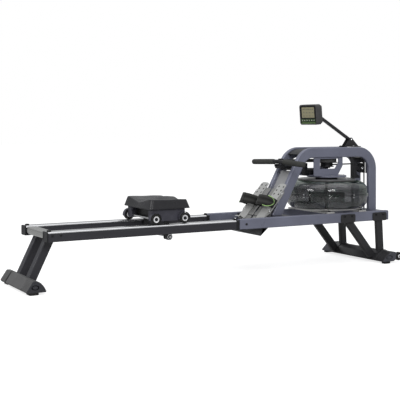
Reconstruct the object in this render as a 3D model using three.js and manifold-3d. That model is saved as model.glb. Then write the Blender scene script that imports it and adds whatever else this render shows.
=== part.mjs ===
import * as THREE from "three";
import { mergeVertices } from "three/addons/utils/BufferGeometryUtils.js";
import Module from "manifold-3d";

const wasm = await Module();
wasm.setup();

// Driving sizes in millimetres and degrees
// X runs from the tail end of the rails towards the tank, Y across the machine, Z up from the floor

// Clearances, wall overruns and finish
const seatGap = 0.3;
const turnGap = 0.4;
const overrun = 4;
const weld = 1;
const boltRadius = 6.5;
const boltHead = 3;

// Seat rails
const railLength = 1042;
const railWidth = 62;
const railHeight = 49;
const railWall = 2.5;
const railCorner = 5;
const railTop = 289;
const railSpacing = 313;
const railScrewRadius = 5.5;
const railScrewHead = 2;

// Rail end caps and seat bumpers
const capLength = 6;
const capPlug = 16;
const bumperRadius = 9;
const bumperHeight = 10;
const tailBumperInset = 21;

// Joint collars between rails and beams
const collarLength = 21;
const collarPlug = 40;

// Beams under the tank
const beamWidth = 30;
const beamHeight = 56;
const beamWall = 2.5;
const beamCorner = 4;
const beamRise = 5;
const beamLead = 280;
const beamBoltInset = 42;

// Cross tube between the rails at the tail
const tailTubeLength = 84;
const tailTubeHeight = 38;
const tailTubeInset = 6;
const tailTubeRise = 8;
const tailTubeCorner = 9;
const tailTubeWall = 2.5;

// Tail stand
const tailLegSpacing = 144;
const tailLegWidth = 28;
const tailLegDepth = 43;
const tailLegLean = 26;
const tailLegInset = 31;
const tailFootDepth = 100;
const tailFootHeight = 57;
const tailFootToe = 34.5;
const tailFootHalf = 200;
const tailFootCapLength = 65;

// Foot bars share their wall, pads and plugs
const footWall = 2.5;
const padHeight = 11;
const padLength = 46;
const padInset = 14;
const footPlug = 25;
const ovalDepth = 5;

// Head foot bar and its legs
const headFootDepth = 130;
const headFootHeight = 56;
const headFootAhead = 76;
const headFootHalf = 285;
const headFootCapLength = 75;
const headLegWidth = 28;
const headLegDepth = 57;
const headLegInset = 51;
const headDiagonalDepth = 60;
const headDiagonalLean = 41.5;
const headDiagonalSpread = 229;
const headPlateThickness = 5;
const headPlateHeight = 47;
const headPlateLength = 108;
const headPlateCorner = 12;
const headSaddleThickness = 4;

// Transport wheels in the noses of the head foot
const transportRadius = 24;
const transportWidth = 18;
const transportHeight = 37;
const transportPinRadius = 6;

// Hoops over the tank
const hoopDepth = 58;
const hoopWidth = 25;
const hoopWall = 2;
const hoopSpacing = 140;
const hoopLean = 29;
const hoopFootAhead = 197;
const hoopInset = 1;
const hoopBendRadius = 101;
const gussetThickness = 5;

// Cross members and the folded base bracket
const crossHeight = 40;
const crossSink = 3;
const crossWall = 2.5;
const frontCrossMargin = 24;
const troughThickness = 4;
const troughDrop = 46;
const troughLength = 177;
const troughHalf = 120;
const troughFlange = 40;

// Tank
const tankClearance = 8;
const tankRadius = 235;
const tankRim = 8;
const tankFlange = 6;
const tankWall = 4;
const tankBaseRadius = 165;
const tankLift = 11;
const tankLowerHeight = 85;
const tankRimHeight = 30;
const tankDomeHeight = 51;
const tankNeckRadius = 160;
const tankCollar = 13;
const tankBossRadius = 20;
const tankBossHeight = 16;

// Cradle dish under the tank
const cradleThickness = 3;
const cradleReach = 4;
const cradleStrapWidth = 54;
const cradleStrapSpacing = 230;

// Lid and bearing plate above the tank
const lidOverhang = 8;
const lidThickness = 9;
const lidPlug = 7;
const bearingRadius = 115;
const bearingThickness = 9;
const bearingRise = 19;

// Impeller on its shaft
const shaftRadius = 9;
const bladeCount = 6;
const bladeRadius = 112;
const bladeThickness = 4;
const bladeClearance = 27;
const bladeHeight = 72;
const hubRadius = 24;

// Drive drum
const drumFlangeRadius = 64;
const drumStrapRadius = 46;
const drumCordRadius = 36;
const drumHub = 22;
const drumFlange = 4;
const drumCordHeight = 20;
const drumLidHeight = 7;
const drumClearance = 32;
const drumHeadroom = 3;

// Strap, handle run and drum run
const strapWidth = 20;
const strapThickness = 2.5;
const strapGap = 1;

// Hanging bracket that carries the drive
const hangerThickness = 5;
const hangerAhead = 154;
const hangerBehind = 57;
const hangerFloor = 10;
const hangerFloorShare = 0.84;

// Strap guide at the front of the drive
const guideAhead = 174;
const guideLength = 28;
const guideHalf = 44;
const guideHang = 6;
const guideArmLength = 54;
const guideArmHeight = 29;
const guideArmThickness = 6;
const guidePinRadius = 5;

// Return bracket, pulley and cord behind the drive
const returnBehind = 191;
const returnDrop = 58.4;
const returnThickness = 4;
const pulleyBehind = 255;
const pulleyRadius = 23;
const pulleyRim = 28;
const pulleyWidth = 14;
const pulleyPinRadius = 6;
const cordRadius = 4;

// Handle and the rest it lies on
const handleHalf = 250;
const handleRadius = 12;
const handleAhead = 57.4;
const handleDrop = 2;
const handleSweep = 14;
const handleDroop = 9;
const clipLength = 22;
const clipHeight = 30;
const clipWidth = 16;
const gripRadius = 15.5;
const gripInset = 45;
const restHalf = 45;
const restHeight = 24;
const restLength = 84;
const restDrop = 25;
const prongThickness = 8;
const prongSpacing = 70;
const prongLength = 34;

// Centre panel between the hoop legs
const panelRecess = 20;
const panelThickness = 3;
const panelRise = 44;

// Footboards, sliding heel plates and straps, all on one leaning plane
const footLean = 41;
const footAhead = 81.6;
const footSink = 11;
const footInner = 9;
const footOuter = 138;
const footThickness = 7;
const footLow = -32;
const footTop = 205;
const footTaper = 40;
const footChamfer = 24;
const sliderInner = 50;
const sliderOuter = 122;
const sliderThickness = 4;
const sliderTop = 236;
const sliderLow = -24;
const heelHeight = 34;
const heelThickness = 4;
const holeRadius = 3.6;
const holePitch = 23;
const holeRows = 3;
const holeColumns = 2;
const holeSpread = 32;
const holeInset = 18;
const footScrewRadius = 6;
const footStrapWidth = 52;
const footStrapThickness = 3;
const footStrapRise = 58;
const footStrapPlace = 112;
const footStrapInner = 20;
const footStrapOuter = 129;

// Monitor, its arm and its bracket on the hoops
const monitorWidth = 160;
const monitorHeight = 117;
const monitorDepth = 46;
const monitorCorner = 14;
const monitorTilt = 4.5;
const monitorPanelWidth = 146;
const monitorPanelHeight = 103;
const monitorPanelDepth = 2.5;
const monitorPivotBehind = 21;
const lugThickness = 5;
const lugSpacing = 37;
const lugRadius = 9;
const armPivotInset = 138.6;
const armPivotRise = 43;
const armReach = 238;
const armRise = 144;
const armDepth = 20;
const armWidth = 28;
const armPinRadius = 5;
const bracketLength = 100;
const bracketAhead = 45;
const bracketBase = 4;
const bracketCheek = 4;
const bracketRound = 12;

// Seat
const seatSetback = 668;
const cushionDepth = 233;
const cushionHalf = 165;
const cushionLift = 76;
const cushionHeight = 45;
const cushionCrown = 8;
const cushionHollow = 10;
const wheelRadius = 27;
const wheelWidth = 26;
const wheelBase = 165;
const wheelPinRadius = 7;
const wheelWasher = 3;
const carriageThickness = 5;
const carriageDepth = 190;
const carriageSkirt = 4;
const carriageClearance = 14;
const rollerRadius = 17;
const rollerWidth = 30;
const rollerPinRadius = 5;
const rollerArmWidth = 30;
const rollerArmThickness = 6;
const rollerArmInset = 6;

// How finely round shapes are cut
const roundSides = 24;
const tankSides = 40;
const smallSides = 14;
const bendSteps = 8;
const padSides = 36;

// Places worked out from the driving sizes
const railY = railSpacing / 2;
const railInner = railY - railWidth / 2;
const railOuter = railY + railWidth / 2;
const railStart = capLength;
const railEnd = railStart + railLength;
const collarEnd = railEnd + seatGap + collarLength;
const beamStart = collarEnd + seatGap;
const beamTop = railTop + beamRise;
const beamBottom = beamTop - beamHeight;
const beamInner = railOuter - beamWidth;
const beamY = railOuter - beamWidth / 2;

const tankFlangeRadius = tankRadius + tankRim;
const hoopFront = beamStart + beamLead;
const tankX = hoopFront + hoopFootAhead + tankFlangeRadius;
const hoopBack = tankX + tankFlangeRadius + tankClearance + hoopDepth;
const beamEnd = hoopBack + hoopInset;
const hoopFoot = beamTop - crossSink + seatGap;
const hoopInner = (hoopSpacing - hoopWidth) / 2;
const headLegX = beamEnd - headLegInset;
const headFootX = headLegX - headFootAhead;
const headFootTop = padHeight + headFootHeight;

const tankBase = beamTop + tankLift;
const tankSplit = tankBase + tankLowerHeight;
const tankShoulder = tankSplit + tankRimHeight;
const tankTop = tankShoulder + tankDomeHeight;
const lidRadius = tankNeckRadius + lidOverhang;
const bladeLow = tankBase + bladeClearance;

const bearingHeight = tankTop + bearingRise;
const bearingTop = bearingHeight + bearingThickness;
const floorTop = bearingTop + hangerFloor;
const hangerLow = floorTop - weld;
const drumLow = floorTop + drumClearance;
const cordGrooveLow = drumLow + drumLidHeight + drumFlange;
const cordLevel = cordGrooveLow + drumCordHeight / 2;
const strapGrooveLow = cordGrooveLow + drumCordHeight + drumFlange;
const strapHeight = strapGrooveLow + strapGap + strapWidth / 2;
const shaftTop = strapGrooveLow + strapWidth + strapGap * 2 + drumFlange;
const hoopLow = shaftTop + drumHeadroom;
const hoopTop = hoopLow + hoopDepth;
const guideLow = floorTop - guideHang;
const guideTop = strapHeight - strapWidth / 2 - overrun;
const pulleyRide = pulleyRadius + seatGap * 2 + cordRadius;
const pulleyHeight = cordLevel - pulleyRide;
const returnLow = pulleyHeight - returnDrop;

const radians = THREE.MathUtils.degToRad;

// The front face of the slanted hoop leg at a height
function hoopFrontAt(z) {
  return hoopFront + (z - hoopFoot) * Math.tan(radians(hoopLean));
}

const handleHeight = strapHeight - handleDrop;
const handleSetback = hoopFrontAt(handleHeight) - handleAhead;
const restTop = handleHeight - restDrop;
const panelLow = beamTop - crossSink + panelRise;
const panelTop = restTop - restHeight - overrun;
const footSetback = hoopFront - footAhead;
const footLevel = beamTop - footSink;
const armPivotSetback = hoopBack - armPivotInset;
const armPivotHeight = hoopTop + armPivotRise;
const tailLegTop = railTop - railHeight + tailTubeRise - seatGap;
const tailLegFoot = padHeight + tailFootHeight / 2;
const tailLegShift = (tailLegTop - tailLegFoot) * Math.tan(radians(tailLegLean));
const tailFootLow = tailLegInset - tailLegShift - tailFootToe;

// The footboard's plane, or a plane a depth behind it, at a height
function footPlaneAt(z, behind) {
  const lean = radians(footLean);
  return footSetback + (z - footLevel) * Math.tan(lean) + behind / Math.cos(lean);
}

// Solids and geometries
function solid(geometry) {
  const bare = geometry.index ? geometry.toNonIndexed() : geometry.clone();
  for (const name of Object.keys(bare.attributes)) {
    if (name !== "position") bare.deleteAttribute(name);
  }
  const merged = mergeVertices(bare);
  const corners = new Uint32Array(merged.index.array);
  const made = () =>
    new wasm.Manifold(
      new wasm.Mesh({
        numProp: 3,
        vertProperties: merged.attributes.position.array,
        triVerts: corners,
      }),
    );
  const first = made();
  if (first.volume() > 0) return first;
  for (let i = 0; i < corners.length; i += 3) {
    [corners[i + 1], corners[i + 2]] = [corners[i + 2], corners[i + 1]];
  }
  return made();
}

function geometryOf(body) {
  const mesh = body.getMesh();
  const places = new Float32Array(mesh.numVert * 3);
  for (let i = 0; i < mesh.numVert; i++) {
    const from = i * mesh.numProp;
    places.set(mesh.vertProperties.subarray(from, from + 3), i * 3);
  }
  const geometry = new THREE.BufferGeometry();
  geometry.setAttribute("position", new THREE.BufferAttribute(places, 3));
  geometry.setIndex(new THREE.BufferAttribute(mesh.triVerts, 1));
  geometry.computeVertexNormals();
  return geometry;
}

function joined(...bodies) {
  return bodies.reduce((whole, body) => whole.add(body));
}

function cut(body, ...tools) {
  return tools.reduce((whole, tool) => whole.subtract(tool), body);
}

// Outlines are lists of points in their plane
function at(x, y) {
  return new THREE.Vector2(x, y);
}

function arc(cx, cy, radius, from, to, steps) {
  const points = [];
  for (let i = 0; i <= steps; i++) {
    const turn = radians(from + ((to - from) * i) / steps);
    points.push(at(cx + radius * Math.cos(turn), cy + radius * Math.sin(turn)));
  }
  return points;
}

function circle(cx, cy, radius, sides) {
  return arc(cx, cy, radius, 0, 360, sides).slice(1);
}

function rounded(x0, x1, y0, y1, radius) {
  return [
    ...arc(x1 - radius, y1 - radius, radius, 0, 90, 3),
    ...arc(x0 + radius, y1 - radius, radius, 90, 180, 3),
    ...arc(x0 + radius, y0 + radius, radius, 180, 270, 3),
    ...arc(x1 - radius, y0 + radius, radius, 270, 360, 3),
  ];
}

function rectangle(x0, x1, y0, y1) {
  return [at(x0, y0), at(x1, y0), at(x1, y1), at(x0, y1)];
}

// An outline whose points are shares of a width and a height from a corner
function scaled(shares, x0, y0, width, height) {
  return shares.map(([u, v]) => at(x0 + u * width, y0 + v * height));
}

// A convex outline moved inwards by a distance, or outwards if that is negative
function inset(points, distance) {
  const turn = THREE.ShapeUtils.isClockWise(points) ? -1 : 1;
  const count = points.length;
  return points.map((point, i) => {
    const before = point.clone().sub(points[(i + count - 1) % count]).normalize();
    const after = points[(i + 1) % count].clone().sub(point).normalize();
    const first = at(-before.y, before.x).multiplyScalar(turn);
    const second = at(-after.y, after.x).multiplyScalar(turn);
    const middle = first.clone().add(second).normalize();
    return point.clone().addScaledVector(middle, distance / middle.dot(first));
  });
}

// Outlines pushed along an axis
const planes = {
  x: [new THREE.Vector3(0, 1, 0), new THREE.Vector3(0, 0, 1)],
  y: [new THREE.Vector3(1, 0, 0), new THREE.Vector3(0, 0, 1)],
  z: [new THREE.Vector3(1, 0, 0), new THREE.Vector3(0, 1, 0)],
};

function wound(points, clockwise) {
  return THREE.ShapeUtils.isClockWise(points) === clockwise ? points : [...points].reverse();
}

function pushed(axis, points, from, to, holes = []) {
  const shape = new THREE.Shape(wound(points, false));
  for (const hole of holes) shape.holes.push(new THREE.Path(wound(hole, true)));
  const depth = Math.abs(to - from);
  const geometry = new THREE.ExtrudeGeometry(shape, { depth, bevelEnabled: false });
  const [across, up] = planes[axis];
  const along = across.clone().cross(up);
  const start = along[axis] > 0 ? Math.min(from, to) : Math.max(from, to);
  const matrix = new THREE.Matrix4().makeBasis(across, up, along);
  matrix.setPosition(axis === "x" ? start : 0, axis === "y" ? start : 0, axis === "z" ? start : 0);
  return solid(geometry.applyMatrix4(matrix));
}

function block(x0, x1, y0, y1, z0, z1) {
  const geometry = new THREE.BoxGeometry(Math.abs(x1 - x0), Math.abs(y1 - y0), Math.abs(z1 - z0));
  geometry.translate((x0 + x1) / 2, (y0 + y1) / 2, (z0 + z1) / 2);
  return solid(geometry);
}

function rod(from, to, radius, sides = smallSides) {
  const start = new THREE.Vector3(...from);
  const end = new THREE.Vector3(...to);
  const way = end.clone().sub(start);
  const geometry = new THREE.CylinderGeometry(radius, radius, way.length(), sides);
  const turn = new THREE.Quaternion();
  turn.setFromUnitVectors(new THREE.Vector3(0, 1, 0), way.normalize());
  geometry.applyQuaternion(turn);
  const middle = start.add(end).multiplyScalar(1 / 2);
  geometry.translate(middle.x, middle.y, middle.z);
  return solid(geometry);
}

// A profile of radius and height turned round the vertical at X, or round Y at X and Z
function turned(profile, x, sides) {
  const points = profile.map(([radius, height]) => at(radius, height));
  const geometry = new THREE.LatheGeometry(points, sides);
  geometry.rotateX(Math.PI / 2);
  geometry.translate(x, 0, 0);
  return solid(geometry);
}

function wheel(profile, x, y, z, sides) {
  const points = profile.map(([radius, across]) => at(radius, across));
  const geometry = new THREE.LatheGeometry(points, sides);
  geometry.translate(x, y, z);
  return solid(geometry);
}

// A path with rounded corners, as points with the way across them
function bent(corners, radius, steps) {
  const path = [];
  const across = (way) => at(way.y, -way.x);
  const first = corners[1].clone().sub(corners[0]).normalize();
  path.push([corners[0], across(first)]);
  for (let i = 1; i < corners.length - 1; i++) {
    const arriving = corners[i].clone().sub(corners[i - 1]).normalize();
    const leaving = corners[i + 1].clone().sub(corners[i]).normalize();
    const turn = arriving.angle() - leaving.angle();
    const swing = Math.atan2(Math.sin(turn), Math.cos(turn));
    const reach = radius * Math.tan(Math.abs(swing) / 2);
    const start = corners[i].clone().addScaledVector(arriving, -reach);
    const centre = start.clone().addScaledVector(across(arriving), radius);
    for (let k = 0; k <= steps; k++) {
      const way = across(arriving).rotateAround(at(0, 0), (-swing * k) / steps);
      path.push([centre.clone().addScaledVector(way, -radius), way]);
    }
  }
  const last = corners[corners.length - 1];
  path.push([last, across(last.clone().sub(corners[corners.length - 2]).normalize())]);
  return path;
}

function ribbon(path, half) {
  const outer = path.map(([point, way]) => point.clone().addScaledVector(way, -half));
  const inner = path.map(([point, way]) => point.clone().addScaledVector(way, half));
  return [...outer, ...inner.reverse()];
}

// Looks
function paint(color, roughness, metalness) {
  return new THREE.MeshStandardMaterial({ color, roughness, metalness });
}

const slate = paint("#5d6070", 0.45, 0.4);
const black = paint("#1b1b1e", 0.55, 0.1);
const darkAlloy = paint("#2c2c31", 0.4, 0.7);
const silver = paint("#c9ccd2", 0.3, 0.9);
const rubber = paint("#141414", 0.85, 0);
const warmGrey = paint("#8f8f8b", 0.5, 0.2);
const webbing = paint("#161714", 0.9, 0);
const smoke = paint("#27332c", 0.15, 0);
const steelGrey = paint("#6f7076", 0.5, 0.3);
const foam = paint("#232420", 0.9, 0);
const charcoal = paint("#3a3a42", 0.6, 0.1);
const panelGreen = paint("#3d5a2a", 0.4, 0);

const part = new THREE.Group();
const machine = new THREE.Group();
part.add(machine);

function place(group, name, body, look) {
  const mesh = new THREE.Mesh(geometryOf(body), look);
  mesh.name = name;
  group.add(mesh);
}

const sides = [
  ["left", 1],
  ["right", -1],
];

// Bolt heads on a face that looks across the machine
function boltAcross(side, x, y, z, radius, head) {
  const face = side * y;
  return rod([x, face - (side * head) / 2, z], [x, face + side * head, z], radius);
}

// Seat rails, their caps and bumpers, and the collars that join them to the beams
function railSection(margin) {
  const low = railTop - railHeight + margin;
  const corner = railCorner - margin / 2;
  return rounded(railInner + margin, railOuter - margin, low, railTop - margin, corner);
}

function crossed(points, side) {
  return points.map((point) => at(side * point.x, point.y));
}

function rail(side) {
  const bore = crossed(railSection(railWall), side);
  const tube = pushed("x", crossed(railSection(0), side), railStart + seatGap, railEnd, [bore]);
  const height = railTop - tailTubeRise - railScrewRadius * 2;
  const first = tailTubeInset + tailTubeLength / 4;
  const spread = tailTubeLength / 2;
  const screws = [first, first + spread].map((x) =>
    boltAcross(side, x, railOuter, height, railScrewRadius, railScrewHead),
  );
  return joined(tube, ...screws);
}

function railCap(side) {
  const cover = pushed("x", crossed(railSection(0), side), 0, railStart);
  const fit = crossed(railSection(railWall + seatGap), side);
  const plug = pushed("x", fit, railStart - overrun, railStart + capPlug);
  return joined(cover, plug);
}

function bumper(side, x, foot) {
  const top = railTop + foot + bumperHeight;
  const base = railTop + foot;
  const shoulder = bumperHeight / 4;
  const profile = [
    [0, base],
    [bumperRadius, base],
    [bumperRadius, top - shoulder],
    [bumperRadius - shoulder, top],
    [0, top],
  ];
  return turned(profile, x, smallSides).translate([0, side * railY, 0]);
}

function beamSection(margin) {
  const corner = beamCorner - margin / 2;
  const low = beamBottom + margin;
  return rounded(beamInner + margin, railOuter - margin, low, beamTop - margin, corner);
}

function collar(side) {
  const start = railEnd + seatGap;
  const band = pushed("x", crossed(railSection(0), side), start, collarEnd);
  const railFit = crossed(railSection(railWall + seatGap), side);
  const beamFit = crossed(beamSection(beamWall + seatGap), side);
  const lower = railTop - railHeight + railWall;
  const beamPlug = pushed("x", beamFit, collarEnd - overrun, collarEnd + collarPlug);
  const railPlug = pushed("x", railFit, start - collarPlug, start + overrun);
  const stop = bumper(side, start + bumperRadius, -overrun / 2);
  const under = block(
    collarEnd - overrun,
    collarEnd,
    side * beamInner,
    side * railOuter,
    beamBottom,
    lower,
  );
  return joined(band, railPlug, beamPlug, stop, under);
}

for (const [name, side] of sides) {
  place(machine, `rail_${name}`, rail(side), darkAlloy);
  place(machine, `rail_cap_${name}`, railCap(side), black);
  place(machine, `tail_bumper_${name}`, bumper(side, tailBumperInset, seatGap), rubber);
  place(machine, `rail_joint_${name}`, collar(side), black);
}

// Beams with their bolt heads
function beam(side) {
  const bore = crossed(beamSection(beamWall), side);
  const tube = pushed("x", crossed(beamSection(0), side), beamStart, beamEnd, [bore]);
  const height = beamBottom + beamHeight / 2;
  const front = boltAcross(side, beamStart + beamBoltInset, railOuter, height, boltRadius, boltHead);
  return joined(tube, front);
}

for (const [name, side] of sides) {
  place(machine, `beam_${name}`, beam(side), slate);
}

// Cross tube at the tail, held between the rails
function tailTube() {
  const half = railInner - seatGap;
  const start = tailTubeInset;
  const end = start + tailTubeLength;
  const low = railTop - railHeight + tailTubeRise;
  const high = low + tailTubeHeight;
  const wall = tailTubeWall;
  const outer = rounded(start, end, low, high, tailTubeCorner);
  const bore = rounded(start + wall, end - wall, low + wall, high - wall, tailTubeCorner - wall);
  return pushed("y", outer, -half, half, [bore]);
}

place(machine, "tail_cross_tube", tailTube(), silver);

// A foot bar's outline in shares of its depth and height, from its low outer edge
const tailFootShares = [
  [0, 0.14],
  [0.33, 1],
  [0.52, 0.98],
  [0.7, 0.82],
  [0.87, 0.5],
  [1, 0.08],
  [0.96, 0],
  [0.05, 0],
];
const headFootShares = [
  [0, 0.08],
  [0.25, 0.66],
  [0.5, 1],
  [0.7, 0.95],
  [0.87, 0.8],
  [1, 0.52],
  [0.63, 0],
  [0.03, 0],
];
const tailFoot = scaled(tailFootShares, tailFootLow, padHeight, tailFootDepth, tailFootHeight);
const headFoot = scaled(headFootShares, headFootX, padHeight, headFootDepth, headFootHeight);

function footBar(section, half) {
  return pushed("y", section, -half, half, [inset(section, footWall)]);
}

function footCap(side, section, half, length, padStart) {
  const inner = side * (half - length + seatGap);
  const body = pushed("y", section, inner, side * half);
  const fit = inset(section, footWall + seatGap);
  const plug = pushed("y", fit, inner - side * footPlug, inner + side * weld);
  const padEnd = side * (half - overrun);
  const padTop = padHeight + weld;
  const pad = block(padStart, padStart + padLength, inner + side * overrun, padEnd, 0, padTop);
  return joined(body, plug, pad);
}

// An oval hollow in the end face of a foot
function endOval(side, section, half) {
  const ends = section.map((point) => point.x);
  const low = Math.min(...ends);
  const span = Math.max(...ends) - low;
  const tops = section.map((point) => point.y);
  const base = Math.min(...tops);
  const rise = Math.max(...tops) - base;
  const oval = [];
  for (let i = 0; i < roundSides; i++) {
    const turn = (2 * Math.PI * i) / roundSides;
    const x = low + span * (0.44 + 0.2 * Math.cos(turn));
    oval.push(at(x, base + rise * (0.46 + 0.22 * Math.sin(turn))));
  }
  return pushed("y", oval, side * (half - ovalDepth), side * (half + overrun));
}

// Tail stand, with legs from the foot bar to the cross tube
function tailStand() {
  const width = tailLegDepth / Math.cos(radians(tailLegLean));
  const leg = [
    at(tailLegInset, tailLegTop),
    at(tailLegInset + width, tailLegTop),
    at(tailLegInset + width - tailLegShift, tailLegFoot),
    at(tailLegInset - tailLegShift, tailLegFoot),
  ];
  const bar = footBar(tailFoot, tailFootHalf - tailFootCapLength);
  const legs = sides.map(([, side]) => {
    const middle = (side * tailLegSpacing) / 2;
    return pushed("y", leg, middle - tailLegWidth / 2, middle + tailLegWidth / 2);
  });
  return joined(bar, ...legs);
}

place(machine, "tail_stand", tailStand(), black);
for (const [name, side] of sides) {
  const padStart = tailFootLow + padInset + overrun;
  const cap = footCap(side, tailFoot, tailFootHalf, tailFootCapLength, padStart);
  const end = cut(cap, endOval(side, tailFoot, tailFootHalf));
  place(machine, `tail_foot_cap_${name}`, end, steelGrey);
}

// Head legs, each a vertical and a diagonal tube joined by plates and a saddle
function headLeg(side) {
  const outer = railOuter + seatGap + headPlateThickness;
  const inner = outer - headLegWidth;
  const top = beamBottom - seatGap;
  const deep = padHeight + headFootHeight / 4;
  const half = headLegDepth / 2;
  const upright = rectangle(headLegX - half, headLegX + half, deep, top);
  const lean = radians(headDiagonalLean);
  const width = headDiagonalDepth / Math.cos(lean);
  const start = headLegX - headDiagonalSpread - width / 2;
  const shift = (top - deep) * Math.tan(lean);
  const slanted = [
    at(start, top),
    at(start + width, top),
    at(start + width + shift, deep),
    at(start + shift, deep),
  ];
  const tubes = [upright, slanted].map((points) => pushed("y", points, side * inner, side * outer));
  const plateLow = top - overrun;
  const plates = [start + width / 2, headLegX].map((x) => {
    const reach = headPlateLength / 2;
    const shape = rounded(x - reach, x + reach, plateLow, beamBottom + headPlateHeight, headPlateCorner);
    const plate = pushed("y", shape, side * (railOuter + seatGap), side * outer);
    const height = beamBottom + headPlateHeight * (3 / 4);
    const bolts = [-1, 1].map((way) =>
      boltAcross(side, x + (way * reach) / 2, outer, height, boltRadius, boltHead),
    );
    return joined(plate, ...bolts);
  });
  const cover = inset(headFoot, -seatGap - headSaddleThickness);
  const reach = headLegWidth / 4;
  const saddle = pushed("y", cover, side * (inner - reach), side * (outer + reach));
  const nearSide = side * (inner - headLegWidth);
  const farSide = side * (outer + headLegWidth);
  const past = headFootX + headFootDepth * 2;
  const low = padHeight + headFootHeight / 3;
  const room = pushed("y", inset(headFoot, -seatGap), nearSide, farSide);
  const under = block(headFootX - headFootDepth, past, nearSide, farSide, -overrun, low);
  const noseStart = headFootX + headFootDepth * 0.86;
  const nose = block(noseStart, past, nearSide, farSide, -overrun, headFootTop * 2);
  return cut(joined(...tubes, ...plates, cut(saddle, under, nose)), room);
}

for (const [name, side] of sides) {
  place(machine, `head_leg_${name}`, headLeg(side), black);
}
place(machine, "head_foot_bar", footBar(headFoot, headFootHalf - headFootCapLength), black);

// Head foot ends, each with a pocket and a pin for its transport wheel
const transportX = headFootX + headFootDepth * 0.93;

function headFootCap(side) {
  const padStart = headFootX + overrun;
  const cap = footCap(side, headFoot, headFootHalf, headFootCapLength, padStart);
  const onPin = (y) => [transportX, side * y, transportHeight];
  const inner = headFootHalf - transportWidth - turnGap * 2;
  const room = transportRadius + turnGap * 4;
  const pocket = rod(onPin(inner), onPin(headFootHalf + overrun), room, roundSides);
  const pinEnd = onPin(headFootHalf + boltHead);
  const pin = rod(onPin(inner - overrun), pinEnd, transportPinRadius);
  const head = rod(onPin(headFootHalf + turnGap), pinEnd, transportPinRadius * 1.5);
  const boss = block(
    transportX - transportPinRadius * 4,
    transportX,
    side * inner,
    side * (inner - overrun * 2),
    transportHeight - transportPinRadius,
    transportHeight + transportPinRadius,
  );
  return joined(cut(cap, pocket, footCapOval(side)), boss, pin, head);
}

function footCapOval(side) {
  const shifted = headFoot.map((point) => at(point.x - headFootDepth * 0.08, point.y));
  return endOval(side, shifted, headFootHalf);
}

function transportWheel(side) {
  const bore = transportPinRadius + turnGap;
  const half = transportWidth / 2;
  const shoulder = transportRadius * 0.1;
  const profile = [
    [bore, -half],
    [transportRadius - shoulder, -half],
    [transportRadius, -half + shoulder],
    [transportRadius, half - shoulder],
    [transportRadius - shoulder, half],
    [bore, half],
    [bore, -half],
  ];
  return wheel(profile, transportX, side * (headFootHalf - half), transportHeight, roundSides);
}

for (const [name, side] of sides) {
  place(machine, `head_foot_cap_${name}`, headFootCap(side), black);
  place(machine, `transport_wheel_${name}`, transportWheel(side), rubber);
}

// Folded base bracket with the cross member that carries the hoops' front feet
const crossTop = beamTop - crossSink;
const crossLow = crossTop - crossHeight;
const frontFootWidth = hoopDepth / Math.cos(radians(hoopLean));

function crossMember(start, end) {
  const half = beamInner - seatGap;
  const wall = crossWall;
  const outer = rectangle(start, end, crossLow, crossTop);
  const bore = rectangle(start + wall, end - wall, crossLow + wall, crossTop - wall);
  return pushed("y", outer, -half, half, [bore]);
}

function baseBracket() {
  const level = beamBottom - seatGap;
  const start = beamStart;
  const bottom = start + troughLength;
  const crossStart = hoopFront - frontCrossMargin;
  const crossEnd = hoopFront + frontFootWidth + frontCrossMargin;
  const rise = bottom + troughDrop;
  const upper = [
    at(start, level),
    at(bottom, level - troughDrop),
    at(rise, level),
    at(crossStart + crossWall, crossLow + crossWall),
    at(crossStart + crossWall, crossLow),
  ];
  const fold = troughThickness;
  const lower = [
    at(crossStart, crossLow - fold / 2),
    at(rise + fold, level - fold * 2),
    at(bottom, level - troughDrop - fold),
    at(start, level - fold),
  ];
  const trough = pushed("y", [...upper, ...lower], -troughHalf, troughHalf);
  const reach = railOuter;
  const flange = block(start, start + troughFlange, -reach, reach, level - fold, level);
  return joined(trough, flange, crossMember(crossStart, crossEnd));
}

place(machine, "foot_base_bracket", baseBracket(), black);

const headCrossStart = hoopBack - hoopDepth;
place(machine, "head_cross_member", crossMember(headCrossStart, hoopBack), slate);

// Hoops, each with the gusset that carries its footboard
function hoopPath() {
  const half = hoopDepth / 2;
  const level = hoopTop - half;
  const lean = radians(hoopLean);
  const foot = hoopFoot - hoopDepth;
  const frontAt = (z) => hoopFrontAt(z) + half / Math.cos(lean);
  const corners = [
    at(frontAt(foot), foot),
    at(frontAt(level), level),
    at(hoopBack - half, level),
    at(hoopBack - half, foot),
  ];
  return bent(corners, hoopBendRadius, bendSteps);
}

function hoop(side) {
  const middle = (side * hoopSpacing) / 2;
  const half = hoopWidth / 2;
  const path = hoopPath();
  const outer = pushed("y", ribbon(path, hoopDepth / 2), middle - half, middle + half);
  const bore = pushed(
    "y",
    ribbon(path, hoopDepth / 2 - hoopWall),
    middle - half + hoopWall,
    middle + half - hoopWall,
  );
  const below = block(
    hoopFront - hoopDepth * 4,
    hoopBack + hoopDepth,
    middle - hoopWidth,
    middle + hoopWidth,
    0,
    hoopFoot,
  );
  const behind = footThickness + seatGap;
  const low = footLevel + footThickness * 3;
  const high = footLevel + (footTop - footChamfer) * Math.cos(radians(footLean));
  const gusset = [
    at(footPlaneAt(low, behind), low),
    at(hoopFrontAt(low) + hoopWall / 2, low),
    at(hoopFrontAt(high) + hoopWall / 2, high),
    at(footPlaneAt(high, behind), high),
  ];
  const web = gussetThickness / 2;
  return joined(cut(outer, bore, below), pushed("y", gusset, middle - web, middle + web));
}

for (const [name, side] of sides) {
  place(machine, `hoop_${name}`, hoop(side), slate);
}

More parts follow.
